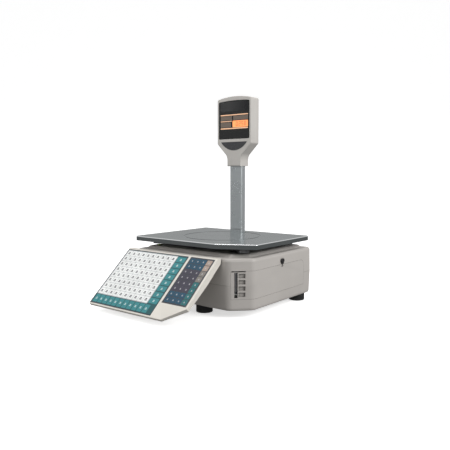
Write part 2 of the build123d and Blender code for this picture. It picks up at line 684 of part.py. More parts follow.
def tray_outline():
    right = BODY_HALF - DOOR_WALL - DRAFT_LOW - 0.5
    cut = 31.0
    return [(TRAY_LEFT, TRAY_FRONT), (right - cut, TRAY_FRONT), (right, TRAY_FRONT + cut),
            (right, TRAY_REAR), (TRAY_LEFT, TRAY_REAR)]


def rail_places():
    return [TRAY_FRONT + RAIL_INSET, TRAY_REAR - RAIL_INSET]


def drawer_tray():
    """A pan with a low rim that carries the mechanism, and four shoes that straddle the rails."""
    outline = tray_outline()
    tray = prism(outline, TRAY_LOW, TRAY_TOP)
    rim = 1.5
    rim_h = 8.0
    tray = tray + block(TRAY_LEFT, TRAY_LEFT + rim, TRAY_FRONT, TRAY_REAR, TRAY_TOP - 0.1, TRAY_TOP + rim_h)
    tray = tray + block(TRAY_LEFT, BODY_HALF - 12, TRAY_REAR - rim, TRAY_REAR, TRAY_TOP - 0.1, TRAY_TOP + rim_h)
    for y in rail_places():
        half = RAIL_W / 2 + RUN
        for low, high in ((y - half - SHOE_WALL, y - half), (y + half, y + half + SHOE_WALL)):
            tray = tray + block(TRAY_LEFT, TRAY_LEFT + SHOE_LEN, low, high, TRAY_LOW - 5.0, TRAY_LOW + 0.1)
    for x, y in plate_posts():
        tray = tray + post(x, y, 3.5, TRAY_TOP - 0.1, PLATE_LOW)
    tray = tray + post(*ROLL, CORE_R - CORE_WALL - 3.0, TRAY_TOP - 0.1, MEDIA_LOW - 2.0)
    return tray


def plate_posts():
    return [(PLATE_X[0] + 5, PLATE_Y[0] + 5), (PLATE_X[0] + 5, PLATE_Y[1] - 5), (PLATE_X[1] - 16, PLATE_Y[1] - 5)]


def drawer_rails():
    """Two folded strips along X that stand on the pan's floor."""
    rails = []
    inset = WALL + DRAFT_LOW + EDGE_R
    for y in rail_places():
        corner = y - RAIL_W / 2 + BODY_HALF - BODY_CUT - BODY_FRONT - inset / DIAG
        right = min(BODY_HALF - inset, corner)
        strip = block(TRAY_LEFT, right, y - RAIL_W / 2, y + RAIL_W / 2, TRAY_LOW - RUN - 2.0, TRAY_LOW - RUN)
        strip = strip + block(TRAY_LEFT, right, y - 1.5, y + 1.5, FLOOR_TOP + 1.9, TRAY_LOW - RUN - 1.9)
        strip = strip + block(TRAY_LEFT, right, y - RAIL_W / 2, y + RAIL_W / 2, FLOOR_TOP, FLOOR_TOP + 2.0)
        rails.append(strip)
    return solids_together(rails)


def mech_plate():
    """A steel plate above the gears, with the riveted stud that the head bracket turns on."""
    plate = block(*PLATE_X, *PLATE_Y, PLATE_LOW, PLATE_LOW + PLATE_T)
    far = 60
    cut_away = corner_block((-far, 8.0), (-far, far), PLATE_LOW - 1, PLATE_LOW + PLATE_T + 1)
    plate = plate - cut_away
    for centre in (PLATEN, TAKE_UP):
        plate = plate - post(*centre, SHAFT_R + PIN_FIT, PLATE_LOW - 1, PLATE_LOW + PLATE_T + 1)
    plate = plate - post(*MOTOR, SHAFT_R / 2 + 1.0, PLATE_LOW - 1, PLATE_LOW + PLATE_T + 1)
    head_stud = post(*HEAD_PIVOT, SHAFT_R, PLATE_LOW, MEDIA_TOP - 1.0)
    return plate + head_stud


GEAR_CLEAR = 0.25       # root clearance, in modules


def gear(centre, teeth, z0, z1, phase=0.0):
    """A spur gear with straight-flanked teeth."""
    pitch_r = MODULE * teeth / 2
    root_r = pitch_r - MODULE * (1 + GEAR_CLEAR)
    tip_r = pitch_r + MODULE * 0.85
    pitch_angle = 2 * pi / teeth
    shares = [(root_r, -0.31), (pitch_r, -0.225), (tip_r, -0.10), (tip_r, 0.10), (pitch_r, 0.225), (root_r, 0.31)]
    points = []
    for tooth in range(teeth):
        for radius, share in shares:
            angle = radians(phase) + (tooth + share) * pitch_angle
            points.append((centre[0] + radius * cos(angle), centre[1] + radius * sin(angle)))
    return prism(points, z0, z1)


def mesh_phase(driver, driver_teeth, driver_phase, centre, teeth):
    """The angle that puts a gap of this gear opposite the tooth of its driver."""
    towards = degrees(atan2(centre[1] - driver[1], centre[0] - driver[0]))
    turned = (towards - driver_phase) / (360 / driver_teeth)
    share = turned - int(turned)
    back = towards + 180
    return back + (share + 0.5) * 360 / teeth


PINION_PHASE = 0.0
PLATEN_PHASE = mesh_phase(MOTOR, PINION_TEETH, PINION_PHASE, PLATEN, PLATEN_TEETH)
TAKE_UP_PHASE = mesh_phase(MOTOR, PINION_TEETH, PINION_PHASE, TAKE_UP, TAKE_UP_TEETH)


def motor_pinion():
    pinion = gear(MOTOR, PINION_TEETH, GEAR_LOW, GEAR_LOW + GEAR_T, PINION_PHASE)
    return pinion + post(*MOTOR, SHAFT_R / 2, GEAR_LOW + GEAR_T - 0.1, MEDIA_LOW + 3.0)


def stepper_motor():
    """A can motor with its shaft downwards, on the mechanism plate."""
    low = PLATE_LOW + PLATE_T
    body = post(*MOTOR, MOTOR_R, low, low + MOTOR_H)
    body = fillet(body.edges().sort_by(Axis.Z)[-1], 1.5)
    body = body + post(*MOTOR, MOTOR_R * 0.4, low + MOTOR_H - 0.1, low + MOTOR_H + 1.5)
    return body - post(*MOTOR, SHAFT_R / 2 + PIN_FIT, low - 1, MEDIA_LOW + 4.0)


def platen_roller():
    """A rubber-covered roller on a steel shaft."""
    roller = post(*PLATEN, PLATEN_R, MEDIA_LOW, MEDIA_TOP)
    return roller + post(*PLATEN, SHAFT_R, GEAR_LOW, MEDIA_LOW + 0.1)


def platen_gear():
    wheel = gear(PLATEN, PLATEN_TEETH, GEAR_LOW, GEAR_LOW + GEAR_T, PLATEN_PHASE)
    return wheel - post(*PLATEN, SHAFT_R, GEAR_LOW - 1, GEAR_LOW + GEAR_T + 1)


def take_up_spool():
    """The liner's spool: gear, shaft, split drum and top flange in one moulding."""
    spool = gear(TAKE_UP, TAKE_UP_TEETH, GEAR_LOW, GEAR_LOW + GEAR_T, TAKE_UP_PHASE)
    spool = spool + post(*TAKE_UP, SHAFT_R, GEAR_LOW, MEDIA_LOW + 0.1)
    spool = spool + post(*TAKE_UP, SPOOL_R, MEDIA_LOW, MEDIA_TOP - 3.0)
    spool = spool + post(*TAKE_UP, SPOOL_R + 4.5, MEDIA_TOP - 3.1, MEDIA_TOP - 1.0)
    slit = block(TAKE_UP[0] - 1, TAKE_UP[0] + 1, TAKE_UP[1], TAKE_UP[1] + SPOOL_R + 5, MEDIA_LOW + 2, MEDIA_TOP)
    return spool - slit


def roll_spindle():
    """A fixed hub with a lower flange that the label roll turns on."""
    spindle_r = CORE_R - CORE_WALL - RUN
    base = post(*ROLL, ROLL_R * 0.75, MEDIA_LOW - 2.0, MEDIA_LOW - RUN)
    hub = post(*ROLL, spindle_r, MEDIA_LOW - RUN - 0.1, MEDIA_TOP - 2.0)
    hub = chamfer(hub.edges().sort_by(Axis.Z)[-1], 2.0)
    hollow = post(*ROLL, spindle_r - 3.0, MEDIA_LOW + 1.0, MEDIA_TOP)
    return base + (hub - hollow)


def label_roll():
    """A roll of labels on a card core."""
    wound = tube(*ROLL, ROLL_R, CORE_R - CORE_WALL, MEDIA_LOW, MEDIA_TOP)
    core_ring = tube(*ROLL, CORE_R + 0.3, CORE_R, MEDIA_TOP - 0.6, MEDIA_TOP + 1)
    return wound - core_ring


def print_head():
    """The thermal head's ceramic strip on its heat sink, facing the platen."""
    depth = (NIP_DEPTH - 5.0, NIP_DEPTH + HEAD_LEN - 5.0)
    strip = corner_block(depth, (0.3, 0.3 + HEAD_T), MEDIA_LOW + 0.5, MEDIA_TOP - 0.5)
    for index in range(5):
        z = MEDIA_LOW + 6 + index * 9.0
        strip = strip - corner_block((depth[0] - 1, depth[1] + 1), (HEAD_T - 2.4, HEAD_T + 1), z, z + 4.0)
    return strip


def head_bracket():
    """A folded arm that holds the head, turns on its pin and ends in a release tab."""
    deep = NIP_DEPTH + HEAD_LEN - 5.0
    arm_plate = corner_block((NIP_DEPTH - 5.0, deep + 9.0), (HEAD_T + 0.3, HEAD_T + 2.3), MEDIA_LOW, MEDIA_TOP)
    knuckle = post(*HEAD_PIVOT, SHAFT_R + 2.5, MEDIA_LOW, MEDIA_TOP - 4.0)
    bracket = arm_plate + knuckle
    bracket = bracket - post(*HEAD_PIVOT, SHAFT_R + PIN_FIT, MEDIA_LOW - 1, MEDIA_TOP + 1)
    tab = corner_block((NIP_DEPTH - 3.0, NIP_DEPTH + 9.0), (HEAD_T + 2.2, HEAD_T + 16.0), MEDIA_TOP - 3.0, MEDIA_TOP)
    return bracket + tab


def peel_bar():
    """A thin steel bar beside the exit, where labels leave their liner."""
    foot = corner_block((8.5, 14.5), (-9.0, -1.5), PLATE_LOW + PLATE_T, PLATE_LOW + PLATE_T + 1.5)
    bar = corner_block((8.5, 10.5), (-5.0, -1.5), PLATE_LOW + PLATE_T, MEDIA_TOP)
    return foot + bar


def latch_button():
    """The oval push button above the drawer, with a stem into the cover."""
    side = Plane(origin=(BODY_HALF - 6.0, LATCH_Y, LATCH_Z), x_dir=(0, 1, 0), z_dir=(1, 0, 0))
    head = extrude(side * latch_face(0.0), amount=6.0 + LATCH_PROUD, dir=(1, 0, 0))
    head = chamfer(head.faces().sort_by(Axis.X)[-1].edges(), 0.8)
    collar = block(BODY_HALF - 9.0, BODY_HALF - 5.9, LATCH_Y - LATCH_W / 2 - 2, LATCH_Y + LATCH_W / 2 + 2,
                   LATCH_Z - LATCH_H / 2, LATCH_Z + LATCH_H / 2 + 2)
    stem = rod((BODY_HALF - 20.0, LATCH_Y, LATCH_Z), (1, 0, 0), 2.0, 12.0)
    return head + collar + stem


def latch_spring():
    """A short coil round the latch's stem, as rings a pitch apart joined in one band."""
    start = BODY_HALF - 9.0
    wire = 0.5
    coil = rod((start - 7.0, LATCH_Y, LATCH_Z), (1, 0, 0), 3.6, 7.0)
    coil = coil - rod((start - 8.0, LATCH_Y, LATCH_Z), (1, 0, 0), 2.4, 9.0)
    for index in range(5):
        x = start - 6.2 + index * 1.25
        ring = rod((x, LATCH_Y, LATCH_Z), (1, 0, 0), 4.0, wire) - rod((x, LATCH_Y, LATCH_Z), (1, 0, 0), 3.3, wire)
        coil = coil - ring
    return coil


# ---- Keyboard ----
KEY_PLANE = Plane(origin=(0, KEY_TOP_Y, KEY_TOP_Z), x_dir=(1, 0, 0),
                  z_dir=(0, -sin(radians(KEY_SLOPE)), cos(radians(KEY_SLOPE))))


def key_wedge(profile, inset):
    """A side profile (distance down the slope, height above the keyboard's face) drawn out along X."""
    left = KEY_LEFT + inset
    length = KEY_RIGHT - KEY_LEFT - 2 * inset
    side = Plane(origin=(left, 0, 0), x_dir=(0, 1, 0), z_dir=(1, 0, 0))
    wedge = extrude(side * flat([(-v, w) for v, w in profile]), amount=length, dir=(1, 0, 0))
    cut_x = KEY_CUT_X + inset * (hypot(KEY_CUT_X, KEY_CUT_V) - KEY_CUT_X) / KEY_CUT_V - inset
    cut_v = KEY_CUT_V + inset * (hypot(KEY_CUT_X, KEY_CUT_V) - KEY_CUT_V) / KEY_CUT_X - inset
    right = KEY_RIGHT - inset
    end = -KEY_LEN + inset
    plan = [(left, 1), (left, end), (right - cut_x, end), (right, end + cut_v), (right, 1)]
    outline = Pos(0, 0, -2 * KEY_T) * flat(plan)
    outline = fillet(outline.vertices().group_by(Axis.Y)[0], max(4.0 - inset, 0.8))
    return wedge & extrude(outline, amount=4 * KEY_T, dir=(0, 0, 1))


def key_neck(low_share, high_share):
    """The part of a shell that fills the corner between the wedge's end and the housing."""
    top = KEY_PLANE.from_local_coords(Vector(0, 0, -KEY_T * low_share))
    low = KEY_PLANE.from_local_coords(Vector(0, 0, -KEY_T * high_share))
    rear = BODY_FRONT - KEY_JOIN_GAP
    corners = [(top.Y, top.Z), (rear, top.Z), (rear, low.Z), (min(low.Y, rear - 0.2), low.Z)]
    side = Plane(origin=(KEY_LEFT, 0, 0), x_dir=(0, 1, 0), z_dir=(1, 0, 0))
    return extrude(side * flat(corners), amount=KEY_RIGHT - KEY_LEFT, dir=(1, 0, 0))


def overlay_solid(x_range, v_range, gap, thickness):
    """A thin sheet let into the keyboard's face."""
    plan = Rectangle(x_range[1] - x_range[0] + 2 * gap, v_range[1] - v_range[0] + 2 * gap)
    plan = fillet(plan.vertices(), 1.5 + gap)
    middle = Pos((x_range[0] + x_range[1]) / 2, -(v_range[0] + v_range[1]) / 2, -OVERLAY_T)
    return KEY_PLANE * (middle * extrude(plan, amount=thickness, dir=(0, 0, 1)))


def keyboard_top_shell():
    split = KEY_T * KEY_SPLIT
    lip_split = KEY_LIP * KEY_SPLIT
    outer = key_wedge([(0, 0), (KEY_LEN, 0), (KEY_LEN, -lip_split), (KEY_BREAK, -split), (0, -split)], 0.0)
    inner = key_wedge([(KEY_WALL, -KEY_WALL), (KEY_LEN - 3 * KEY_WALL, -KEY_WALL),
                       (KEY_LEN, -lip_split - 0.1), (KEY_BREAK, -split - 0.1), (KEY_WALL, -split - 0.1)], KEY_WALL)
    rim = [edge for edge in outer.faces().sort_by(Axis.Z)[-1].edges() if edge.center().Y < -1]
    outer = fillet(rim, KEY_RIM_R)
    shell = KEY_PLANE * (outer - inner) + key_neck(0.0, KEY_SPLIT)
    shell = shell - overlay_solid(PLU_X, PLU_V, OVERLAY_GAP, OVERLAY_T + 2)
    return shell - overlay_solid(FUNCTION_X, FUNCTION_V, OVERLAY_GAP, OVERLAY_T + 2)


FLANGE_H = 22.0
FLANGE_T = 3.0
FLANGE_RIGHT = KEY_RIGHT - 28.0
KEY_SCREW_XS = (-150.0, -75.0, 0.0, FLANGE_RIGHT - 10.0)
KEY_SCREW_R = 1.8


def keyboard_bottom_shell():
    split = KEY_T * KEY_SPLIT
    lip_split = KEY_LIP * KEY_SPLIT
    outer = key_wedge([(0, -split), (KEY_BREAK, -split), (KEY_LEN, -lip_split), (KEY_LEN, -KEY_LIP),
                       (KEY_BREAK, -KEY_T), (0, -KEY_T)], 0.0)
    inner = key_wedge([(KEY_WALL, -split + 0.1), (KEY_BREAK, -split + 0.1), (KEY_LEN - 14.0, -lip_split),
                       (KEY_LEN - 26.0, -KEY_LIP * 0.95), (KEY_BREAK, -KEY_T + KEY_WALL),
                       (KEY_WALL, -KEY_T + KEY_WALL)], KEY_WALL)
    shell = KEY_PLANE * (outer - inner) + key_neck(KEY_SPLIT, 1.0)
    low = KEY_PLANE.from_local_coords(Vector(0, 0, -KEY_T)).Z
    rear = BODY_FRONT - KEY_JOIN_GAP
    flange = block(-BODY_HALF + 12, FLANGE_RIGHT, rear - FLANGE_T, rear, low - FLANGE_H, low + 0.2)
    for x in KEY_SCREW_XS:
        flange = flange - rod((x, rear - 10, low - FLANGE_H / 2), (0, 1, 0), KEY_SCREW_R + 0.2, 20)
    return shell + flange


def keyboard_screw_line():
    return KEY_PLANE.from_local_coords(Vector(0, 0, -KEY_T)).Z - FLANGE_H / 2


def keyboard_screws():
    start = BODY_FRONT - KEY_JOIN_GAP - FLANGE_T - 2.0
    return solids_together([pan_screw((x, start, keyboard_screw_line()), (0, 1, 0), KEY_SCREW_R, 3.6, 9.0, 2.0)
                            for x in KEY_SCREW_XS])


def plu_overlay():
    return overlay_solid(PLU_X, PLU_V, 0.0, OVERLAY_T)


def function_overlay():
    return overlay_solid(FUNCTION_X, FUNCTION_V, 0.0, OVERLAY_T)


def keyboard_board():
    """The contact board under both overlays."""
    x0 = KEY_LEFT + 8
    x1 = FUNCTION_X[1] - 2
    length = FUNCTION_V[1] - 8
    board = block(x0, x1, -length, -8, -KEY_WALL - BOARD_T - 0.8, -KEY_WALL - 0.8)
    board = board + block(x0 + 30, x0 + 70, -30, -22, -KEY_WALL - BOARD_T - 4, -KEY_WALL - BOARD_T - 0.7)
    return KEY_PLANE * board


# ---- Pole and display head ----
def pole_outline(grow, z):
    plan = Rectangle(POLE_W + 2 * grow, POLE_D + 2 * grow)
    return Pos(POLE_X, POLE_Y, z) * fillet(plan.vertices(), max(POLE_R + grow, 0.8))


POLE_TOP = HEAD_NECK_Z + POLE_IN_HEAD
BRACKET_W = 66.0
BRACKET_T = 2.5
BRACKET_TOP = 128.0
POLE_SCREW_R = 2.4
POLE_SCREW_ZS = (60.0, 100.0)


def pole_tube():
    pole = extrude(pole_outline(0.0, POLE_LOW), amount=POLE_TOP - POLE_LOW, dir=(0, 0, 1))
    pole = pole - extrude(pole_outline(-POLE_WALL, POLE_LOW - 1), amount=POLE_TOP - POLE_LOW + 2, dir=(0, 0, 1))
    for z in POLE_SCREW_ZS:
        pole = pole - rod((POLE_X, POLE_Y - POLE_D, z), (0, 1, 0), POLE_SCREW_R, POLE_D)
    cable_door = rod((POLE_X, POLE_Y - POLE_D, CABLE_Z), (0, 1, 0), 6.0, POLE_D)
    return pole - cable_door


def pole_bracket():
    """A plate on the rear wall with a channel that the pole's front face sits in."""
    wall = BODY_REAR
    face = POLE_Y - POLE_D / 2
    half = POLE_W / 2
    plate = block(POLE_X - BRACKET_W / 2, POLE_X + BRACKET_W / 2, wall, wall + BRACKET_T, POLE_LOW, BRACKET_TOP)
    pad = block(POLE_X - half, POLE_X + half, wall + BRACKET_T - 0.1, face, POLE_LOW, BRACKET_TOP)
    bracket = plate + pad
    for side in (-1, 1):
        inner = POLE_X + side * (half + 0.1)
        outer = POLE_X + side * (half + BRACKET_T)
        bracket = bracket + block(min(inner, outer), max(inner, outer), wall + 0.1, POLE_Y + 2, POLE_LOW, BRACKET_TOP)
    shelf = block(POLE_X - half - 1, POLE_X + half + 1, face - 1, POLE_Y + POLE_D / 2, POLE_LOW - BRACKET_T, POLE_LOW)
    bracket = bracket + shelf
    for z in POLE_SCREW_ZS:
        bracket = bracket - rod((POLE_X, wall - 5, z), (0, 1, 0), POLE_SCREW_R + 0.1, 20)
    for x, z in bracket_bolts():
        bracket = bracket - rod((x, wall - 5, z), (0, 1, 0), POLE_SCREW_R + 0.1, 20)
    return bracket - rod((POLE_X, wall - 5, CABLE_Z), (0, 1, 0), 6.0, 20)


def bracket_bolts():
    reach = BRACKET_W / 2 - 5.0
    return [(POLE_X + side * reach, z) for side in (-1, 1) for z in POLE_SCREW_ZS]


def pole_bracket_screws():
    """Four screws into the rear wall and two from inside the housing into the pole."""
    outside = BODY_REAR + BRACKET_T + 2.5
    shown = [pan_screw((x, outside, z), (0, -1, 0), POLE_SCREW_R - 0.05, 4.4, 9.0, 2.5) for x, z in bracket_bolts()]
    inside = BODY_REAR - WALL - DRAFT_LOW - 2.8
    held = [pan_screw((POLE_X, inside, z), (0, 1, 0), POLE_SCREW_R - 0.05, 4.4, 16.0, 2.5) for z in POLE_SCREW_ZS]
    return solids_together(shown + held)


def pole_screw_holes():
    """Clearance in the housing's rear wall for the bracket's screws and the display cable."""
    places = bracket_bolts() + [(POLE_X, z) for z in POLE_SCREW_ZS]
    holes = rod((POLE_X, BODY_REAR - 12, CABLE_Z), (0, 1, 0), 6.0, 14)
    for x, z in places:
        holes = holes + rod((x, BODY_REAR - 12, z), (0, 1, 0), POLE_SCREW_R + 0.1, 14)
    return holes


def display_cable():
    """The lead that runs from the housing up inside the pole to the display board."""
    low = CABLE_Z
    radius = 2.5
    bend = 8.0
    top = POLE_TOP + 30
    path = FilletPolyline((POLE_X, BODY_REAR - 18, low), (POLE_X, POLE_Y, low), (POLE_X, POLE_Y, top), radius=bend)
    profile = Plane(origin=(POLE_X, BODY_REAR - 18, low), z_dir=(0, 1, 0)) * Circle(radius)
    return sweep(profile, path=path)


def head_outline():
    """The display head seen from the operator: arched top, shoulders and a curved neck."""
    half = HEAD_W / 2
    neck = POLE_W / 2 + HEAD_NECK_WALL
    waist = (neck + 1.0, (HEAD_CURVE_Z + HEAD_FLARE_Z) / 2 - 1.5)
    right = Polyline((neck, HEAD_NECK_Z), (neck, HEAD_CURVE_Z))
    curve_right = ThreePointArc((neck, HEAD_CURVE_Z), waist, (HEAD_FLARE_HALF, HEAD_FLARE_Z))
    side_right = Polyline((HEAD_FLARE_HALF, HEAD_FLARE_Z), (half, HEAD_SIDE_Z), (half, HEAD_SHOULDER_Z))
    arch = ThreePointArc((half, HEAD_SHOULDER_Z), (0, HEAD_TOP), (-half, HEAD_SHOULDER_Z))
    side_left = Polyline((-half, HEAD_SHOULDER_Z), (-half, HEAD_SIDE_Z), (-HEAD_FLARE_HALF, HEAD_FLARE_Z))
    curve_left = ThreePointArc((-HEAD_FLARE_HALF, HEAD_FLARE_Z), (-waist[0], waist[1]), (-neck, HEAD_CURVE_Z))
    left = Polyline((-neck, HEAD_CURVE_Z), (-neck, HEAD_NECK_Z))
    bottom = Line((-neck, HEAD_NECK_Z), (neck, HEAD_NECK_Z))
    face = make_face([right, curve_right, side_right, arch, side_left, curve_left, left, bottom])
    shoulders = [corner for corner in face.vertices() if abs(abs(corner.X) - half) < 0.01]
    return fillet(shoulders, HEAD_CORNER_R)


def window_outline(gap):
    half = WINDOW_W / 2 + gap
    low = WINDOW_LOW - gap
    side_z = WINDOW_SIDE_Z + gap
    lines = Polyline((-half, side_z), (-half, low), (half, low), (half, side_z))
    arch = ThreePointArc((half, side_z), (0, WINDOW_TOP + gap), (-half, side_z))
    face = make_face([lines, arch])
    return fillet(face.vertices(), WINDOW_R + gap)


def crescent_outline(gap):
    """A circular segment with its straight side up."""
    radius = CRESCENT_R + gap
    middle_z = CRESCENT_LOW + CRESCENT_R
    top_z = CRESCENT_LOW + CRESCENT_H + gap
    disc = Pos(0, middle_z) * Circle(radius)
    return disc & (Pos(0, top_z - radius) * Rectangle(4 * radius, 2 * radius))


def head_solid(face, y0, y1):
    """A face drawn in the head's front view, drawn out from y0 to y1."""
    front = Plane(origin=(POLE_X, y0, 0), x_dir=(1, 0, 0), z_dir=(0, -1, 0))
    return extrude(front * face, amount=y1 - y0, dir=(0, 1, 0))


HEAD_FRONT_Y = POLE_Y - HEAD_D / 2
HEAD_REAR_Y = POLE_Y + HEAD_D / 2
POLE_SOCKET_GAP = 0.1
WINDOW_DEPTH = 1.2      # window face behind the shell's face


def head_body():
    """The whole head, rounded over at both faces, with the pole's socket."""
    whole = head_solid(head_outline(), HEAD_FRONT_Y, HEAD_REAR_Y)
    rims = whole.faces().sort_by(Axis.Y)[0].edges() + whole.faces().sort_by(Axis.Y)[-1].edges()
    return fillet(rims, HEAD_EDGE)


def head_cavity():
    inner = head_solid(offset(head_outline(), -HEAD_WALL), HEAD_FRONT_Y + HEAD_EDGE + 1, HEAD_REAR_Y - HEAD_EDGE - 1)
    above = block(-BODY_W, BODY_W, 0, 2 * POLE_Y, POLE_TOP, HEAD_TOP + 10)
    socket = extrude(pole_outline(POLE_SOCKET_GAP, HEAD_NECK_Z - 1), amount=POLE_IN_HEAD + 1.2, dir=(0, 0, 1))
    return (inner & above) + socket


def pocket(face_maker, gap, y0, y1):
    return head_solid(face_maker(gap), y0, y1)


def head_front_shell():
    half = block(-BODY_W, BODY_W, HEAD_FRONT_Y - 1, POLE_Y, HEAD_NECK_Z - 1, HEAD_TOP + 10)
    shell = (head_body() - head_cavity()) & half
    shell = shell - pocket(window_outline, GLAZING_GAP, HEAD_FRONT_Y - 1, HEAD_FRONT_Y + WINDOW_DEPTH + WINDOW_T)
    shell = shell - pocket(window_opening, 0.0, HEAD_FRONT_Y - 1, HEAD_FRONT_Y + HEAD_EDGE + 3)
    shell = shell - pocket(crescent_outline, GLAZING_GAP, HEAD_FRONT_Y - 1, HEAD_FRONT_Y + WINDOW_T)
    return shell


def window_opening(gap):
    """The hole behind the window, which leaves a ledge for it to sit on."""
    half = WINDOW_W / 2 - 4.0 + gap
    middle_z = (WINDOW_LOW + WINDOW_SIDE_Z) / 2
    height = WINDOW_SIDE_Z - WINDOW_LOW - 8.0
    return Pos(0, middle_z) * Rectangle(2 * half, height)


def head_rear_shell():
    half = block(-BODY_W, BODY_W, POLE_Y, HEAD_REAR_Y + 1, HEAD_NECK_Z - 1, HEAD_TOP + 10)
    shell = (head_body() - head_cavity()) & half
    shell = shell - pocket(window_outline, GLAZING_GAP, HEAD_REAR_Y - WINDOW_DEPTH - WINDOW_T, HEAD_REAR_Y + 1)
    shell = shell - pocket(window_opening, 0.0, HEAD_REAR_Y - HEAD_EDGE - 3, HEAD_REAR_Y + 1)
    for x, z in head_screw_places():
        shell = shell - rod((x, HEAD_REAR_Y + 1, z), (0, -1, 0), 3.4, 4.0)
        shell = shell - rod((x, HEAD_REAR_Y + 1, z), (0, -1, 0), 1.6, HEAD_D)
    return shell


def head_screw_places():
    spread = HEAD_FLARE_HALF - 4.0
    return [(POLE_X - spread, HEAD_SIDE_Z - 14.0), (POLE_X + spread, HEAD_SIDE_Z - 14.0)]


def head_screws():
    return solids_together([pan_screw((x, HEAD_REAR_Y - 0.8, z), (0, -1, 0), 1.5, 3.0, 5.0, 2.0)
                            for x, z in head_screw_places()])


def front_window():
    return head_solid(window_outline(0.0), HEAD_FRONT_Y + WINDOW_DEPTH, HEAD_FRONT_Y + WINDOW_DEPTH + WINDOW_T)


def rear_window():
    return head_solid(window_outline(0.0), HEAD_REAR_Y - WINDOW_DEPTH - WINDOW_T, HEAD_REAR_Y - WINDOW_DEPTH)


def crescent_panel():
    return head_solid(crescent_outline(0.0), HEAD_FRONT_Y + 0.4, HEAD_FRONT_Y + WINDOW_T)


def lcd_outline():
    middle_z = (WINDOW_LOW + WINDOW_SIDE_Z) / 2
    return Pos(0, middle_z) * Rectangle(WINDOW_W - 9.0, WINDOW_SIDE_Z - WINDOW_LOW - 9.0)


def front_lcd():
    start = HEAD_FRONT_Y + WINDOW_DEPTH + WINDOW_T
    return head_solid(lcd_outline(), start, start + LCD_T)


def rear_lcd():
    start = HEAD_REAR_Y - WINDOW_DEPTH - WINDOW_T
    return head_solid(lcd_outline(), start - LCD_T, start)


def display_board():
    half = WINDOW_W / 2 - 2.0
    board = block(POLE_X - half, POLE_X + half, POLE_Y + 5, POLE_Y + 5 + BOARD_T, WINDOW_LOW - 4, WINDOW_SIDE_Z - 2)
    return board + block(POLE_X - 12, POLE_X + 12, POLE_Y + 1, POLE_Y + 5.1, WINDOW_LOW + 2, WINDOW_LOW + 10)


# ---- The whole object ----
def housing_with_rear_holes(piece):
    return piece - pole_screw_holes()


def cover_with_latch_rib():
    rib = block(BODY_HALF - 19.0, BODY_HALF - 16.0, LATCH_Y - 8, LATCH_Y + 8, LATCH_Z - 6, BODY_TOP - WALL + 0.3)
    rib = rib - rod((BODY_HALF - 25.0, LATCH_Y, LATCH_Z), (1, 0, 0), 2.0 + PIN_FIT, 12.0)
    cover = housing_with_rear_holes(top_cover()) + rib
    for x in KEY_SCREW_XS:
        cover = cover - rod((x, BODY_FRONT - 3, keyboard_screw_line()), (0, 1, 0), KEY_SCREW_R + 0.05, 12)
    return cover


def make_nodes():
    nodes = {
        "base_pan": housing_with_rear_holes(base_pan()),
        "top_cover": cover_with_latch_rib(),
        "cover_screws": cover_screws(),
        "chassis_plate": drilled_for_cell(chassis_plate()),
        "chassis_screws": chassis_screws(),
        "load_cell": load_cell(),
        "load_cell_bolts": load_cell_bolts(),
        "main_board": main_board(),
        "power_supply": power_supply(),
        "power_inlet": power_inlet(),
        "switch_bezel": switch_bezel(),
        "power_rocker": power_rocker(),
        "bubble_level": bubble_level(),
        "platter": platter(),
        "platter_support": platter_support(),
        "support_bumpers": support_bumpers(),
        "support_bolts": support_bolts(),
        "drawer_front": drawer_front(),
        "drawer_tray": drawer_tray(),
        "drawer_rails": drawer_rails(),
        "mech_plate": mech_plate(),
        "motor_pinion": motor_pinion(),
        "stepper_motor": stepper_motor(),
        "platen_roller": platen_roller(),
        "platen_gear": platen_gear(),
        "take_up_spool": take_up_spool(),
        "roll_spindle": roll_spindle(),
        "label_roll": label_roll(),
        "print_head": print_head(),
        "head_bracket": head_bracket(),
        "peel_bar": peel_bar(),
        "latch_button": latch_button(),
        "latch_spring": latch_spring(),
        "keyboard_top_shell": keyboard_top_shell(),
        "keyboard_bottom_shell": keyboard_bottom_shell(),
        "keyboard_screws": keyboard_screws(),
        "plu_overlay": plu_overlay(),
        "function_overlay": function_overlay(),
        "keyboard_board": keyboard_board(),
        "pole_tube": pole_tube(),
        "pole_bracket": pole_bracket(),
        "pole_bracket_screws": pole_bracket_screws(),
        "display_cable": display_cable(),
        "head_front_shell": head_front_shell(),
        "head_rear_shell": head_rear_shell(),
        "head_screws": head_screws(),
        "front_window": front_window(),
        "rear_window": rear_window(),
        "crescent_panel": crescent_panel(),
        "front_lcd": front_lcd(),
        "rear_lcd": rear_lcd(),
        "display_board": display_board(),
    }
    for name, (x, y) in foot_places().items():
        nodes["foot_pad_" + name] = foot_pad(x, y)
    for name, (x, y) in foot_places().items():
        nodes["foot_stud_" + name] = foot_stud(x, y)
    return nodes


def origin_of(nodes):
    """The middle of the bottom of the whole object's box."""
    boxes = [shape.bounding_box() for shape in nodes.values()]
    low_x = min(box.min.X for box in boxes)
    high_x = max(box.max.X for box in boxes)
    low_y = min(box.min.Y for box in boxes)
    high_y = max(box.max.Y for box in boxes)
    low_z = min(box.min.Z for box in boxes)
    return Vector((low_x + high_x) / 2, (low_y + high_y) / 2, low_z)


NODES = make_nodes()
ORIGIN = origin_of(NODES)

os.makedirs("parts", exist_ok=True)
for node_name, node_shape in NODES.items():
    export_step(node_shape.moved(Location(-ORIGIN)), "parts/" + node_name + ".step")
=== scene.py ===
import json
import math

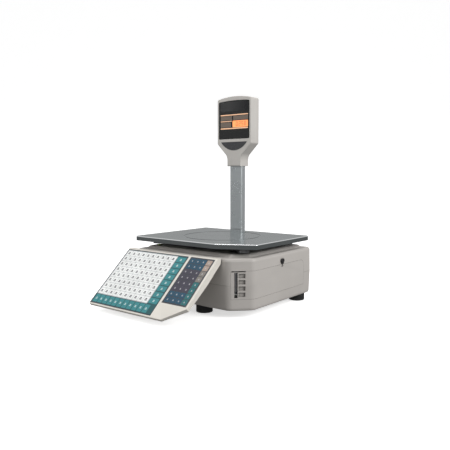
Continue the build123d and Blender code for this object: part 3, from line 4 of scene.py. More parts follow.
import bmesh
import bpy
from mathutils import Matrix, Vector


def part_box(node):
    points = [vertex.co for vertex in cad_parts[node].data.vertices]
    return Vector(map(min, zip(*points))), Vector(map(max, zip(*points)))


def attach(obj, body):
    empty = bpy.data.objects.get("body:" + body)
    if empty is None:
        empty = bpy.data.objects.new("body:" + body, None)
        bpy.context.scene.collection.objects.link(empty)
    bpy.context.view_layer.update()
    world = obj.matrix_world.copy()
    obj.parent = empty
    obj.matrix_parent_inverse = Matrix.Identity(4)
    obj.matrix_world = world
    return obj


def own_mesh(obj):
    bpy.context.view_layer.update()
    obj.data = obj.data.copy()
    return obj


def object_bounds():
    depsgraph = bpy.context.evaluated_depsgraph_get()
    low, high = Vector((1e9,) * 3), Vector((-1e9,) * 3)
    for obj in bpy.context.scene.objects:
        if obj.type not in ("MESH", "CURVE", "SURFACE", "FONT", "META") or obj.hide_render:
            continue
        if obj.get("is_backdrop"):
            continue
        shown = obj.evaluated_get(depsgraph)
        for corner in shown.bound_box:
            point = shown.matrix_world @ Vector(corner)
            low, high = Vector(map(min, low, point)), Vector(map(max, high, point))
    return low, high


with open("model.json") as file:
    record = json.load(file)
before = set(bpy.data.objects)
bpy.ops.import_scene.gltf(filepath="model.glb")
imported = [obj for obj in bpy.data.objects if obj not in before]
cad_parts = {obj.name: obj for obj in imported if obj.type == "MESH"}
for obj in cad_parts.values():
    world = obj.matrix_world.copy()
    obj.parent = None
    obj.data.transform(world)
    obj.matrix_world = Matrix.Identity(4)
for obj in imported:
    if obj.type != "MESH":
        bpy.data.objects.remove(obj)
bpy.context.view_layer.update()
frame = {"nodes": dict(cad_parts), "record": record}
MM = 0.001

# ---- Camera: the operator's right, a little above the platter ----
CAMERA_AZIMUTH = math.radians(38.3)
CAMERA_PITCH = math.radians(5.4)
CAMERA_LENS = 42.79
CAMERA_AT = (0.8599, -1.0271, 0.3263)

# ---- Surroundings: a grey room, darker towards the floor ----
WORLD_BELOW = (0.24, 0.24, 0.24)
WORLD_HORIZON = (0.43, 0.44, 0.44)
WORLD_ABOVE = (0.75, 0.75, 0.75)
WORLD_STOPS = (0.48, 0.56, 0.75)        # heights of those three, from 0 straight down to 1 straight up

# ---- Keyboard, in metres ----
KEY_SLOPE = math.radians(41.9)
OVERLAY_T = 0.0005
PRINT_T = 0.00008           # height of a printed or embossed layer


# ---- Node helpers for materials ----
EDGE_START = 0.52           # pointiness of a slightly convex surface
EDGE_SHARPNESS = 18.0
# how far the painted shade in gaps and recesses reaches, in metres
CREVICE_SHADE_REACH = 0.005


class Shader:
    """One material's node tree, with short calls for the nodes used here."""

    def __init__(self, name):
        self.material = bpy.data.materials.new(name)
        self.material.use_nodes = True
        self.tree = self.material.node_tree
        self.principled = self.tree.nodes["Principled BSDF"]
        self.coords = self.node("ShaderNodeTexCoord").outputs["Object"]

    def node(self, kind, **settings):
        made = self.tree.nodes.new(kind)
        for key, value in settings.items():
            setattr(made, key, value)
        return made

    def link(self, source, target):
        self.tree.links.new(source, target)

    def scaled(self, scale):
        mapping = self.node("ShaderNodeMapping")
        mapping.inputs["Scale"].default_value = scale
        self.link(self.coords, mapping.inputs["Vector"])
        return mapping.outputs["Vector"]

    def noise(self, scale, detail=3.0, stretch=(1, 1, 1)):
        made = self.node("ShaderNodeTexNoise")
        made.inputs["Scale"].default_value = scale
        made.inputs["Detail"].default_value = detail
        self.link(self.scaled(stretch), made.inputs["Vector"])
        return made.outputs["Fac"]

    def ramp(self, factor, stops):
        made = self.node("ShaderNodeValToRGB")
        ramp = made.color_ramp
        while len(ramp.elements) < len(stops):
            ramp.elements.new(0.5)
        for element, (place, colour) in zip(ramp.elements, stops):
            element.position = place
            element.color = (*colour, 1)
        self.link(factor, made.inputs["Fac"])
        return made.outputs["Color"]

    def spread(self, factor, low, high):
        made = self.node("ShaderNodeMapRange")
        made.inputs["To Min"].default_value = low
        made.inputs["To Max"].default_value = high
        self.link(factor, made.inputs["Value"])
        return made.outputs["Result"]

    def mix(self, factor, first, second):
        made = self.node("ShaderNodeMix", data_type="RGBA", blend_type="MIX")
        for socket, value in ((0, factor), (6, first), (7, second)):
            if hasattr(value, "is_output"):
                self.link(value, made.inputs[socket])
            elif socket == 0:
                made.inputs[0].default_value = value
            else:
                made.inputs[socket].default_value = (*value, 1)
        return made.outputs[2]

    def edges(self):
        """Bright where the surface turns outwards: a painted highlight on edges that catch the light, and
        paler worn edges.
        """
        geometry = self.node("ShaderNodeNewGeometry")
        made = self.node("ShaderNodeMapRange")
        made.inputs["From Min"].default_value = EDGE_START
        made.inputs["From Max"].default_value = EDGE_START + 1 / EDGE_SHARPNESS
        self.link(geometry.outputs["Pointiness"], made.inputs["Value"])
        return made.outputs["Result"]

    def crevice_shade(self, reach):
        """Painted shade mask from ambient occlusion: one in narrow gaps and recesses, zero on open faces.
        """
        made = self.node("ShaderNodeAmbientOcclusion", samples=8)
        made.inputs["Distance"].default_value = reach
        return self.spread(made.outputs["AO"], 1.0, 0.0)

    def bump(self, height, strength, distance):
        made = self.node("ShaderNodeBump")
        made.inputs["Strength"].default_value = strength
        made.inputs["Distance"].default_value = distance
        self.link(height, made.inputs["Height"])
        self.link(made.outputs["Normal"], self.principled.inputs["Normal"])

    def set(self, **values):
        for key, value in values.items():
            self.principled.inputs[key.replace("_", " ")].default_value = value

    def into(self, name, output):
        self.link(output, self.principled.inputs[name])


def tinted(colour, factor):
    return tuple(min(1.0, part * factor) for part in colour)


def moulded(name, colour, rough=(0.42, 0.56), grain=1500.0, depth=0.25, edge_wear_and_highlight=0.25):
    """Moulded plastic: fine spark-eroded grain, slow colour drift, paler edges that are partly wear and
    partly a painted highlight, and painted shade in gaps and recesses.
    """
    shader = Shader(name)
    drift = shader.noise(9.0)
    base = shader.ramp(drift, [(0.3, tinted(colour, 0.94)), (0.7, tinted(colour, 1.05))])
    speck = shader.noise(420.0, 2.0)
    base = shader.mix(shader.spread(speck, 0.0, 0.10), base, tinted(colour, 0.80))
    # paler edges: partly wear, partly a painted highlight
    edge = shader.node("ShaderNodeMath", operation="MULTIPLY")
    edge.inputs[1].default_value = edge_wear_and_highlight
    shader.link(shader.edges(), edge.inputs[0])
    base = shader.mix(edge.outputs[0], base, tinted(colour, 1.25))
    # painted shade: gaps and recesses darkened to a tenth of the colour
    base = shader.mix(shader.crevice_shade(CREVICE_SHADE_REACH), base, tinted(colour, 0.10))
    shader.into("Base Color", base)
    shader.into("Roughness", shader.spread(shader.noise(60.0), *rough))
    shader.bump(shader.noise(grain, 2.0), depth, 0.00008)
    shader.set(Specular_IOR_Level=0.45)
    return shader.material


def polished_steel():
    """Pressed stainless sheet with a faint grain and handling marks, and a painted highlight on the
    sloped bend round its edge.
    """
    shader = Shader("polished_stainless")
    grain = shader.noise(90.0, 4.0, (1, 26, 26))
    smudge = shader.noise(14.0, 3.0)
    colour = shader.ramp(smudge, [(0.3, (0.29, 0.32, 0.325)), (0.75, (0.36, 0.385, 0.39))])
    tilt = shader.node("ShaderNodeSeparateXYZ")
    shader.link(shader.node("ShaderNodeNewGeometry").outputs["Normal"], tilt.inputs[0])
    off, on = (0, 0, 0), (1, 1, 1)
    # painted highlight: faces sloped between flat and upright, the bend at the edge, turn pale
    rim_highlight = shader.ramp(tilt.outputs["Z"], [(0.10, off), (0.25, on), (0.85, on), (0.95, off)])
    shader.into("Base Color", shader.mix(rim_highlight, colour, (0.80, 0.81, 0.82)))
    shader.set(Metallic=1.0, Anisotropic=0.35)
    joined = shader.mix(0.5, grain, smudge)
    shader.into("Roughness", shader.spread(joined, 0.10, 0.24))
    shader.bump(grain, 0.05, 0.00003)
    return shader.material


def brushed(name, colour, rough=(0.22, 0.42), stretch=(30, 30, 1), metallic=1.0, depth=0.10):
    """Drawn, plated or cast metal with a directional grain and a painted highlight on its outer edges."""
    shader = Shader(name)
    grain = shader.noise(120.0, 4.0, stretch)
    base = shader.ramp(grain, [(0.25, tinted(colour, 0.86)), (0.75, tinted(colour, 1.10))])
    # painted highlight: outer edges lightened to one and a half times the colour
    shader.into("Base Color", shader.mix(shader.edges(), base, tinted(colour, 1.5)))
    shader.set(Metallic=metallic)
    shader.into("Roughness", shader.spread(shader.noise(35.0), *rough))
    shader.bump(grain, depth, 0.00004)
    return shader.material


def cast_metal():
    shader = Shader("cast_aluminium")
    pits = shader.noise(700.0, 4.0)
    shader.into("Base Color", shader.ramp(pits, [(0.3, (0.14, 0.14, 0.145)), (0.7, (0.22, 0.22, 0.225))]))
    shader.set(Metallic=0.9)
    shader.into("Roughness", shader.spread(pits, 0.38, 0.58))
    shader.bump(pits, 0.35, 0.0001)
    return shader.material


def rubber():
    shader = Shader("black_rubber")
    dust = shader.noise(55.0, 5.0)
    clean, dusty = (0.012, 0.012, 0.013), (0.045, 0.044, 0.042)
    shader.into("Base Color", shader.ramp(dust, [(0.45, clean), (0.8, dusty)]))
    shader.into("Roughness", shader.spread(dust, 0.62, 0.85))
    shader.bump(shader.noise(1100.0, 2.0), 0.30, 0.0001)
    return shader.material


def gloss_window(name, colour, rough):
    """Smoked acrylic over a display, with faint dust and fine scratches."""
    shader = Shader(name)
    dust = shader.noise(300.0, 4.0)
    scratch = shader.noise(60.0, 3.0, (1, 1, 18))
    shader.into("Base Color", shader.ramp(dust, [(0.55, colour), (0.9, tinted(colour, 2.2))]))
    shader.into("Roughness", shader.spread(scratch, rough, rough + 0.12))
    shader.set(Specular_IOR_Level=0.5, Coat_Weight=0.4, Coat_Roughness=0.05)
    shader.bump(scratch, 0.03, 0.00003)
    return shader.material


def smoke_with_painted_reflection(name, left, right):
    """Smoked header of a display with a painted reflection of the room: greyer at its left end, black
    towards its right.
    """
    shader = Shader(name)
    split = shader.node("ShaderNodeSeparateXYZ")
    shader.link(shader.coords, split.inputs[0])
    across = shader.node("ShaderNodeMapRange")
    across.inputs["From Min"].default_value = left
    across.inputs["From Max"].default_value = right
    shader.link(split.outputs["X"], across.inputs["Value"])
    dust = shader.noise(240.0, 4.0)
    # painted reflection: grey at the left end, fading to black
    grey, black = (0.040, 0.040, 0.041), (0.006, 0.006, 0.008)
    reflection_gradient = shader.ramp(across.outputs["Result"], [(0.35, grey), (0.9, black)])
    shader.into("Base Color", shader.mix(shader.spread(dust, 0.0, 0.15), reflection_gradient, (0.06, 0.06, 0.06)))
    shader.into("Roughness", shader.spread(dust, 0.12, 0.2))
    shader.bump(dust, 0.03, 0.00003)
    return shader.material


def printed_film(name, colour, rough=(0.30, 0.42)):
    """Screen-printed polyester: a slight weave from the screen and a soft satin face."""
    shader = Shader(name)
    screen = shader.noise(2400.0, 1.0)
    drift = shader.noise(22.0, 3.0)
    base = shader.ramp(drift, [(0.3, tinted(colour, 0.92)), (0.72, tinted(colour, 1.06))])
    shader.into("Base Color", shader.mix(shader.spread(screen, 0.0, 0.12), base, tinted(colour, 0.7)))
    shader.into("Roughness", shader.spread(drift, *rough))
    shader.bump(screen, 0.12, 0.00005)
    return shader.material


def glowing(name, colour, strength):
    """A lit display segment, broken into fine columns."""
    shader = Shader(name)
    pixel = shader.node("ShaderNodeTexWave", bands_direction="X")
    pixel.inputs["Scale"].default_value = 260.0
    shader.link(shader.coords, pixel.inputs["Vector"])
    cells = shader.ramp(pixel.outputs["Fac"], [(0.15, tinted(colour, 0.75)), (0.55, colour)])
    shader.into("Base Color", cells)
    shader.into("Emission Color", cells)
    shader.set(Emission_Strength=strength, Roughness=0.35)
    return shader.material


def circuit_board():
    shader = Shader("solder_resist")
    traces = shader.node("ShaderNodeTexVoronoi", distance="MANHATTAN")
    traces.inputs["Scale"].default_value = 230.0
    shader.link(shader.coords, traces.inputs["Vector"])
    distance = traces.outputs["Distance"]
    dark, light = (0.01, 0.10, 0.04), (0.02, 0.20, 0.08)
    shader.into("Base Color", shader.ramp(distance, [(0.25, dark), (0.5, light)]))
    shader.into("Roughness", shader.spread(distance, 0.25, 0.5))
    shader.bump(distance, 0.2, 0.00005)
    return shader.material


def paper_roll():
    """Cream label paper with a fine fibre."""
    shader = Shader("label_paper")
    fibre = shader.noise(900.0, 4.0)
    shader.into("Base Color", shader.ramp(fibre, [(0.3, (0.74, 0.72, 0.65)), (0.7, (0.86, 0.84, 0.78))]))
    shader.into("Roughness", shader.spread(fibre, 0.6, 0.8))
    shader.bump(fibre, 0.3, 0.0001)
    return shader.material


def level_glass():
    shader = Shader("level_fluid")
    cloud = shader.noise(120.0)
    shader.into("Base Color", shader.ramp(cloud, [(0.3, (0.35, 0.55, 0.08)), (0.7, (0.55, 0.75, 0.15))]))
    shader.into("Roughness", shader.spread(cloud, 0.05, 0.15))
    shader.set(Transmission_Weight=0.5)
    return shader.material


# ---- Materials for the CAD nodes, by the record's slots ----
def slot_materials():
    warm_grey = (0.455, 0.43, 0.405)
    return {
        "housing_plastic": moulded("housing_plastic", warm_grey),
        "keyboard_plastic": moulded("keyboard_plastic", (0.70, 0.67, 0.61)),
        "overlay_film": printed_film("overlay_border", (0.045, 0.05, 0.06)),
        "platter_steel": polished_steel(),
        "cast_support": cast_metal(),
        "zinc_steel": brushed("zinc_steel", (0.55, 0.55, 0.53)),
        "circuit_board": circuit_board(),
        "black_plastic": moulded("black_plastic", (0.014, 0.014, 0.015), rough=(0.3, 0.45)),
        "black_rubber": rubber(),
        "level_glass": level_glass(),
        "tray_plastic": moulded("tray_plastic", (0.05, 0.05, 0.055)),
        "white_gear_plastic": moulded("acetal", (0.72, 0.72, 0.68), rough=(0.3, 0.4)),
        "label_paper": paper_roll(),
        "head_alloy": brushed("head_alloy", (0.5, 0.5, 0.52), stretch=(1, 1, 30)),
        "pole_metal": brushed("pole_metal", (0.44, 0.465, 0.475), rough=(0.24, 0.32),
                              metallic=0.8, depth=0.02),
        "bracket_metal": brushed("bracket_metal", (0.20, 0.21, 0.23), rough=(0.4, 0.55),
                                 metallic=0.4),
        "head_plastic": moulded("head_plastic", (0.56, 0.535, 0.505), rough=(0.35, 0.48)),
        "window_gloss": gloss_window("window_gloss", (0.010, 0.010, 0.010), 0.10),
        "lcd_panel": gloss_window("lcd_panel", (0.05, 0.055, 0.06), 0.2),
    }


def dress(node, material):
    """Give a CAD node its finish."""
    piece = frame["nodes"][node]
    for slot in piece.material_slots:
        slot.material = material
    if not piece.material_slots:
        piece.data.materials.append(material)


def dress_all():
    materials = slot_materials()
    for part in frame["record"]["subparts"]:
        dress(part["node"], materials[part["material_slot"]])
    dress("crescent_panel", gloss_window("crescent_smoke", (0.045, 0.045, 0.05), 0.28))
    # painted shade: the peel bar, seen only through the label slot, is made near black so the slot looks
    # dark
    slot_shade_finish = brushed("slot_shade_steel", (0.02, 0.02, 0.022), rough=(0.4, 0.55), metallic=0.3)
    dress("peel_bar", slot_shade_finish)


def soften():
    """Give the load cell and the latch spring meshes of their own."""
    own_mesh(frame["nodes"]["load_cell"])
    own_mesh(frame["nodes"]["latch_spring"])


# ---- Small printed and embossed layers ----
def rounded_corners(x0, x1, y0, y1, radius, steps=4):
    """Corner points of a rounded rectangle, anticlockwise."""
    centres = [(x1 - radius, y1 - radius, 0), (x0 + radius, y1 - radius, 90),
               (x0 + radius, y0 + radius, 180), (x1 - radius, y0 + radius, 270)]
    points = []
    for cx, cy, start in centres:
        for step in range(steps + 1):
            angle = math.radians(start + 90 * step / steps)
            points.append((cx + radius * math.cos(angle), cy + radius * math.sin(angle)))
    return points


BEVEL_SHARE = 0.8           # of a pad's height, taken as the width of its bevel
TIGHT_SHARE = 0.3           # of a pad's corner radius, the least that stays at its top


class Layer:
    """Thin raised pads on a flat face, gathered into one piece."""

    def __init__(self, name, origin, across, up, material, body="housing"):
        self.name = name
        self.origin = origin
        self.across = across
        self.up = up
        self.out = across.cross(up)
        self.material = material
        self.body = body
        self.bm = bmesh.new()

    def place(self, x, y, lift):
        return self.origin + self.across * x + self.up * y + self.out * lift

    def pad(self, x0, x1, y0, y1, radius, low=0.0, high=PRINT_T, crown=0.0):
        """One pad with bevelled sides; crown lifts its middle, as on an embossed key."""
        outer = rounded_corners(x0, x1, y0, y1, radius)
        bevel = (high - low) * BEVEL_SHARE + crown
        tight = max(radius - bevel, radius * TIGHT_SHARE)
        inner = rounded_corners(x0 + bevel, x1 - bevel, y0 + bevel, y1 - bevel, tight)
        rings = [[self.bm.verts.new(self.place(x, y, low)) for x, y in outer],
                 [self.bm.verts.new(self.place(x, y, high)) for x, y in inner]]
        count = len(outer)
        for index in range(count):
            following = (index + 1) % count
            self.bm.faces.new((rings[0][index], rings[0][following],
                               rings[1][following], rings[1][index]))
        if crown > 0:
            middle = self.bm.verts.new(self.place((x0 + x1) / 2, (y0 + y1) / 2, high + crown))
            for index in range(count):
                self.bm.faces.new((rings[1][index], rings[1][(index + 1) % count], middle))
        else:
            self.bm.faces.new(rings[1])

    def centred(self, x, y, half_x, half_y, *shape):
        """The same pad, given by its middle and its half sizes."""
        self.pad(x - half_x, x + half_x, y - half_y, y + half_y, *shape)

    def make(self):
        mesh = bpy.data.meshes.new(self.name)
        self.bm.to_mesh(mesh)
        self.bm.free()
        piece = bpy.data.objects.new(self.name, mesh)
        bpy.context.scene.collection.objects.link(piece)
        mesh.materials.append(self.material)
        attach(piece, self.body)


# ---- Keyboard print ----
def key_face(node):
    """Lower-left corner, width and slope length of an overlay's face, with its directions."""
    low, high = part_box(node)
    up = Vector((0, math.cos(KEY_SLOPE), math.sin(KEY_SLOPE)))
    out = Vector((0, -math.sin(KEY_SLOPE), math.cos(KEY_SLOPE)))
    length = (high.z - low.z - OVERLAY_T * out.z) / up.z
    top = Vector((low.x, high.y + OVERLAY_T * out.y, high.z))
    return top - up * length, high.x - low.x, length, up


PLU_COLUMNS = 10
PLU_ROWS = 8
PLU_PITCH_X = 17.0 * MM
PLU_PITCH_V = 17.2 * MM
PLU_EDGE = 2.2 * MM         # bare border round the teal band
PLU_INSET = 2.0 * MM        # from that border to the first key's cell
PLU_CORNER = 1.6 * MM
PLU_GAP = 0.5 * MM          # from a cell's edge to its key
BED_EDGE = 0.6 * MM
BED_SPARE = 3.5 * MM        # added to the keys' total pitch for the pale bed
BAND_CORNER = 1.5 * MM
BAND_KEY_HALF = 7.3 * MM
BAND_FIELD_CORNER = 1.0 * MM
BAND_GAP_X = 1.4 * MM       # from a band key to the edges of its band
BAND_GAP_V = 1.6 * MM
KEY_CROWN = 0.0001
FUNCTION_COLUMNS = 4
FUNCTION_ROWS = 8
FUNCTION_MARGIN = 3.0 * MM
FUNCTION_GAP = 0.7 * MM
FUNCTION_CORNER = 1.4 * MM
PLU_MARK = 7.4 * MM
BAND_MARK = 6.0 * MM
FUNCTION_MARK = 4.0 * MM


def small_mark(layer, x, y, size, lift):
    """A generic mark: a wide bar under a shorter, thicker one."""
    bar = size * 0.30
    top = lift + PRINT_T
    layer.pad(x - size / 2, x + size / 2, y - 1.5 * bar, y - 0.5 * bar, bar * 0.4, lift, top)
    layer.pad(x - size / 3, x + size / 3, y - 0.2 * bar, y + 1.5 * bar, bar * 0.7, lift, top)


def plu_print():
    """The teal band with its keys, and the pale bed with the look-up keys."""
    corner, width, length, up = key_face("plu_overlay")
    across = Vector((1, 0, 0))

    def layer(name, material):
        return Layer(name, corner, across, up, material)

    teal = layer("plu_teal_band", printed_film("teal_film", (0.012, 0.09, 0.10)))
    teal_keys = layer("plu_teal_keys", printed_film("teal_key_film", (0.035, 0.24, 0.26)))
    bed = layer("plu_key_bed", printed_film("pale_film", (0.50, 0.52, 0.53)))
    keys = layer("plu_keys", printed_film("white_film", (0.86, 0.87, 0.86)))
    marks = layer("plu_marks", printed_film("ink_film", (0.10, 0.10, 0.11)))
    band_marks = layer("plu_band_marks", printed_film("pale_ink_film", (0.55, 0.66, 0.66)))

    def column_x(column):
        return PLU_EDGE + PLU_INSET + (column + 0.5) * PLU_PITCH_X

    def row_y(row):
        return length - PLU_EDGE - PLU_INSET - (row + 0.5) * PLU_PITCH_V

    teal.pad(PLU_EDGE, width - PLU_EDGE, PLU_EDGE, length - PLU_EDGE, BAND_FIELD_CORNER)
    bed_right = PLU_EDGE + PLU_COLUMNS * PLU_PITCH_X + BED_SPARE
    bed_low = length - PLU_EDGE - PLU_ROWS * PLU_PITCH_V - BED_SPARE
    bed.pad(PLU_EDGE + BED_EDGE, bed_right, bed_low, length - PLU_EDGE - BED_EDGE,
            BAND_CORNER, PRINT_T, 2 * PRINT_T)
    half_x = PLU_PITCH_X / 2 - PLU_GAP
    half_y = PLU_PITCH_V / 2 - PLU_GAP
    for column in range(PLU_COLUMNS):
        for row in range(PLU_ROWS):
            x, y = column_x(column), row_y(row)
            keys.centred(x, y, half_x, half_y, PLU_CORNER, 2 * PRINT_T, 4 * PRINT_T, KEY_CROWN)
            small_mark(marks, x, y, PLU_MARK, 5 * PRINT_T)
    shape = (BAND_CORNER, PRINT_T, 3 * PRINT_T)
    band_x = (bed_right + width - PLU_EDGE) / 2
    band_half_x = (width - PLU_EDGE - bed_right) / 2 - BAND_GAP_X
    for row in range(PLU_ROWS):
        teal_keys.centred(band_x, row_y(row), band_half_x, BAND_KEY_HALF, *shape)
        small_mark(band_marks, band_x, row_y(row), BAND_MARK, 3 * PRINT_T)
    band_y = (bed_low + PLU_EDGE) / 2
    band_half_y = (bed_low - PLU_EDGE) / 2 - BAND_GAP_V
    for column in range(PLU_COLUMNS + 1):
        teal_keys.centred(column_x(column), band_y, BAND_KEY_HALF, band_half_y, *shape)
        small_mark(band_marks, column_x(column), band_y, BAND_MARK, 3 * PRINT_T)
    for made in (teal, teal_keys, bed, keys, marks, band_marks):
        made.make()


def function_key_colour(column, row):
    """Which of the printed colours a function key has, from its place in the block."""
    if row <= 1:
        return "cream" if column == 3 else "blue"
    if column == 3:
        return "tan" if row <= 3 else "teal"
    if row <= 5:
        return "purple"
    return "blue"


def function_print():
    """The coloured function keys, one piece for each colour."""
    corner, width, length, up = key_face("function_overlay")
    across = Vector((1, 0, 0))
    colours = {
        "blue": (0.010, 0.070, 0.125),
        "cream": (0.40, 0.31, 0.26),
        "tan": (0.22, 0.20, 0.18),
        "teal": (0.018, 0.15, 0.16),
        "purple": (0.050, 0.045, 0.070),
    }
    layers = {}
    for colour, value in colours.items():
        material = printed_film(colour + "_film", value)
        layers[colour] = Layer("function_keys_" + colour, corner, across, up, material)
    ink = printed_film("light_ink_film", (0.50, 0.50, 0.52))
    marks = Layer("function_marks", corner, across, up, ink)
    margin, gap = FUNCTION_MARGIN, FUNCTION_GAP
    pitch_x = (width - 2 * margin) / FUNCTION_COLUMNS
    pitch_y = (length - 2 * margin) / FUNCTION_ROWS
    for column in range(FUNCTION_COLUMNS):
        for row in range(FUNCTION_ROWS):
            x0 = margin + column * pitch_x + gap
            x1 = margin + (column + 1) * pitch_x - gap
            y1 = length - margin - row * pitch_y - gap
            y0 = length - margin - (row + 1) * pitch_y + gap
            layer = layers[function_key_colour(column, row)]
            layer.pad(x0, x1, y0, y1, FUNCTION_CORNER, 0.0, 2 * PRINT_T, KEY_CROWN)
            small_mark(marks, (x0 + x1) / 2, (y0 + y1) / 2, FUNCTION_MARK, 3.5 * PRINT_T)
    for layer in layers.values():
        layer.make()
    marks.make()


# ---- Display content ----
DIGITS = (0, 2, 5, 8)       # a made-up reading
SIDE_SHARE = 0.055          # bare margin, as a share of the window's width
DIGIT_SHARE = 0.11          # height of a digit, as a share of the window's height
LINE_CORNER = 0.5 * MM
BLOCK_CORNER = 1.0 * MM
HEADER_CORNER = 2.0 * MM


def seven_segments(layer, x, y, height, digit, low):
    """One digit of straight bars, as on any segment display."""
    lit = {0: "abcdef", 2: "abged", 5: "afgcd", 8: "abcdefg"}[digit]
    width = height * 0.55
    bar = height * 0.13
    bars = {
        "a": (0, width, height - bar, height), "d": (0, width, 0, bar),
        "g": (0, width, (height - bar) / 2, (height + bar) / 2),
        "f": (0, bar, height / 2, height), "e": (0, bar, 0, height / 2),
        "b": (width - bar, width, height / 2, height), "c": (width - bar, width, 0, height / 2),
    }
    for name in lit:
        x0, x1, y0, y1 = bars[name]
        inset = bar * 0.15
        layer.pad(x + x0 + inset, x + x1 - inset, y + y0 + inset, y + y1 - inset,
                  bar * 0.25, low, low + PRINT_T)


def display_print(name, node, facing):
    """Rows of lit bars and digits on a display window; facing is +1 for the operator's side."""
    low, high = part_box(node)
    across = Vector((facing, 0, 0))
    left = low.x if facing > 0 else high.x
    face_y = low.y if facing > 0 else high.y
    corner = Vector((left, face_y, low.z))
    width = high.x - low.x
    height = high.z - low.z
    up = Vector((0, 0, 1))

    def layer(part, material):
        return Layer(name + "_" + part, corner, across, up, material)

    ends = sorted((left, left + facing * width))
    smoke = smoke_with_painted_reflection(name + "_header_smoke", *(ends if facing > 0 else reversed(ends)))
    header = layer("header", smoke)
    bright = layer("lines", glowing(name + "_warm_white", (0.85, 0.50, 0.30), 0.55))
    box = layer("box", glowing(name + "_orange", (1.0, 0.33, 0.11), 0.85))
    dim = layer("dim_rows", glowing(name + "_dim", (0.16, 0.125, 0.10), 0.22))
    dark = layer("box_digits", printed_film(name + "_dark_ink", (0.05, 0.02, 0.01)))
    # The layout is in shares of the window's width and height.
    side = width * SIDE_SHARE
    header.pad(side, width * 0.97, height * 0.72, height * 0.97, HEADER_CORNER)
    bright.pad(side, width - side, height * 0.615, height * 0.64, LINE_CORNER)
    bright.pad(side, width - side, height * 0.262, height * 0.292, LINE_CORNER)
    bright.pad(side, width * 0.42, height * 0.455, height * 0.475, LINE_CORNER)
    dim.pad(side, width * 0.40, height * 0.31, height * 0.44, BLOCK_CORNER)
    dim.pad(side, width * 0.43, height * 0.49, height * 0.60, BLOCK_CORNER)
    dim.pad(width * 0.47, width - side, height * 0.49, height * 0.60, BLOCK_CORNER)
    box.pad(width * 0.45, width - side, height * 0.305, height * 0.475, BLOCK_CORNER)
    digit_h = height * DIGIT_SHARE
    for index, digit in enumerate(DIGITS):
        x = width * 0.56 + index * digit_h * 0.82
        seven_segments(dark, x, height * 0.335, digit_h, digit, PRINT_T)
    for made in (header, bright, box, dim, dark):
        made.make()


# ---- Studio ----
FLOOR_R = 4.0               # where the floor starts to curve up
BEND = 1.0
BEND_STEPS = 12
WALL_TOP = 7.0
COVE_STEPS = 72

# Name, place, target, side, power in watts, and whether it shows in reflections.
SOFTBOXES = (
    ("key_right", (1.9, 0.2, 1.1), (0, 0, 0.15), 1.0, 27, True),
    ("front_high", (-0.2, -0.9, 2.1), (0, 0, 0.3), 0.8, 8, True),
    ("front_left", (-1.3, -1.3, 0.8), (0, 0, 0.3), 0.7, 9, False),
)


def paper():
    """Pale paper, lit a little of its own so that it stays even."""
    shader = Shader("backdrop_paper")
    fibre = shader.noise(30.0, 3.0)
    shader.into("Base Color", shader.ramp(fibre, [(0.3, (0.93, 0.93, 0.93)), (0.7, (0.96, 0.96, 0.96))]))
    shader.set(Roughness=0.9, Emission_Color=(1, 1, 1, 1), Emission_Strength=0.55)
    return shader.material


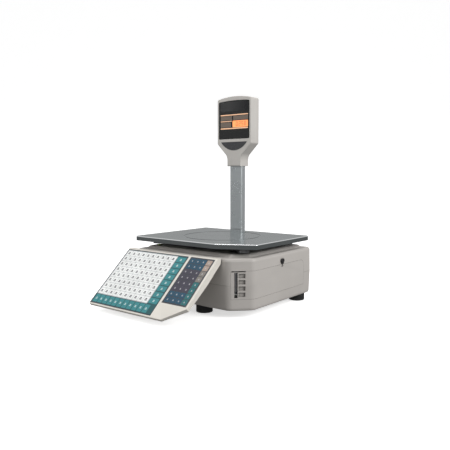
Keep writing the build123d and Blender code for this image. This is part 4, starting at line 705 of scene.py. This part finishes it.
def cove():
    """A round pale floor that curves up into a wall on every side, so each view has the same ground."""
    low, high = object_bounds()
    profile = []
    for step in range(BEND_STEPS + 1):
        angle = math.pi / 2 * step / BEND_STEPS
        profile.append((FLOOR_R + BEND * math.sin(angle), BEND * (1 - math.cos(angle))))
    profile.append((FLOOR_R + BEND, WALL_TOP))
    bm = bmesh.new()
    rings = []
    for radius, z in profile:
        ring = []
        for step in range(COVE_STEPS):
            angle = 2 * math.pi * step / COVE_STEPS
            across = (radius * math.cos(angle), radius * math.sin(angle))
            ring.append(bm.verts.new((*across, low.z + z)))
        rings.append(ring)
    bm.faces.new(rings[0])
    for inner, outer in zip(rings, rings[1:]):
        for step in range(COVE_STEPS):
            following = (step + 1) % COVE_STEPS
            face = bm.faces.new((inner[step], inner[following], outer[following], outer[step]))
            face.smooth = True
    mesh = bpy.data.meshes.new("cove")
    bm.to_mesh(mesh)
    bm.free()
    mesh.materials.append(paper())
    card = bpy.data.objects.new("cove", mesh)
    bpy.context.scene.collection.objects.link(card)
    card.visible_glossy = False
    card.visible_diffuse = False
    card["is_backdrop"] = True


def softbox(name, place, target, side, power, mirrored):
    light = bpy.data.lights.new(name, "AREA")
    light.shape = "RECTANGLE"
    light.size = side
    light.size_y = side
    light.energy = power
    holder = bpy.data.objects.new(name, light)
    holder.location = place
    holder.visible_glossy = mirrored
    holder.rotation_euler = (Vector(target) - Vector(place)).to_track_quat("-Z", "Y").to_euler()
    bpy.context.scene.collection.objects.link(holder)


def studio():
    """The grey world and the softboxes."""
    world = bpy.data.worlds.new("studio")
    world.use_nodes = True
    tree = world.node_tree
    coords = tree.nodes.new("ShaderNodeTexCoord")
    split = tree.nodes.new("ShaderNodeSeparateXYZ")
    tree.links.new(coords.outputs["Generated"], split.inputs[0])
    height = tree.nodes.new("ShaderNodeMapRange")
    height.inputs["From Min"].default_value = -1.0
    tree.links.new(split.outputs["Z"], height.inputs["Value"])
    sky = tree.nodes.new("ShaderNodeValToRGB")
    below, above = sky.color_ramp.elements
    below.position = WORLD_STOPS[0]
    below.color = (*WORLD_BELOW, 1)
    above.position = WORLD_STOPS[2]
    above.color = (*WORLD_ABOVE, 1)
    horizon = sky.color_ramp.elements.new(WORLD_STOPS[1])
    horizon.color = (*WORLD_HORIZON, 1)
    tree.links.new(height.outputs["Result"], sky.inputs["Fac"])
    tree.links.new(sky.outputs["Color"], tree.nodes["Background"].inputs["Color"])
    bpy.context.scene.world = world
    for settings in SOFTBOXES:
        softbox(*settings)
    bpy.context.scene.view_settings.view_transform = "Standard"


def camera():
    data = bpy.data.cameras.new("camera")
    data.lens = CAMERA_LENS
    holder = bpy.data.objects.new("camera", data)
    holder.location = CAMERA_AT
    holder.rotation_euler = (math.pi / 2 - CAMERA_PITCH, 0, CAMERA_AZIMUTH)
    bpy.context.scene.collection.objects.link(holder)
    bpy.context.scene.camera = holder


camera()
dress_all()
soften()
plu_print()
function_print()
display_print("front_display", "front_window", 1)
display_print("rear_display", "rear_window", -1)
cove()
studio()
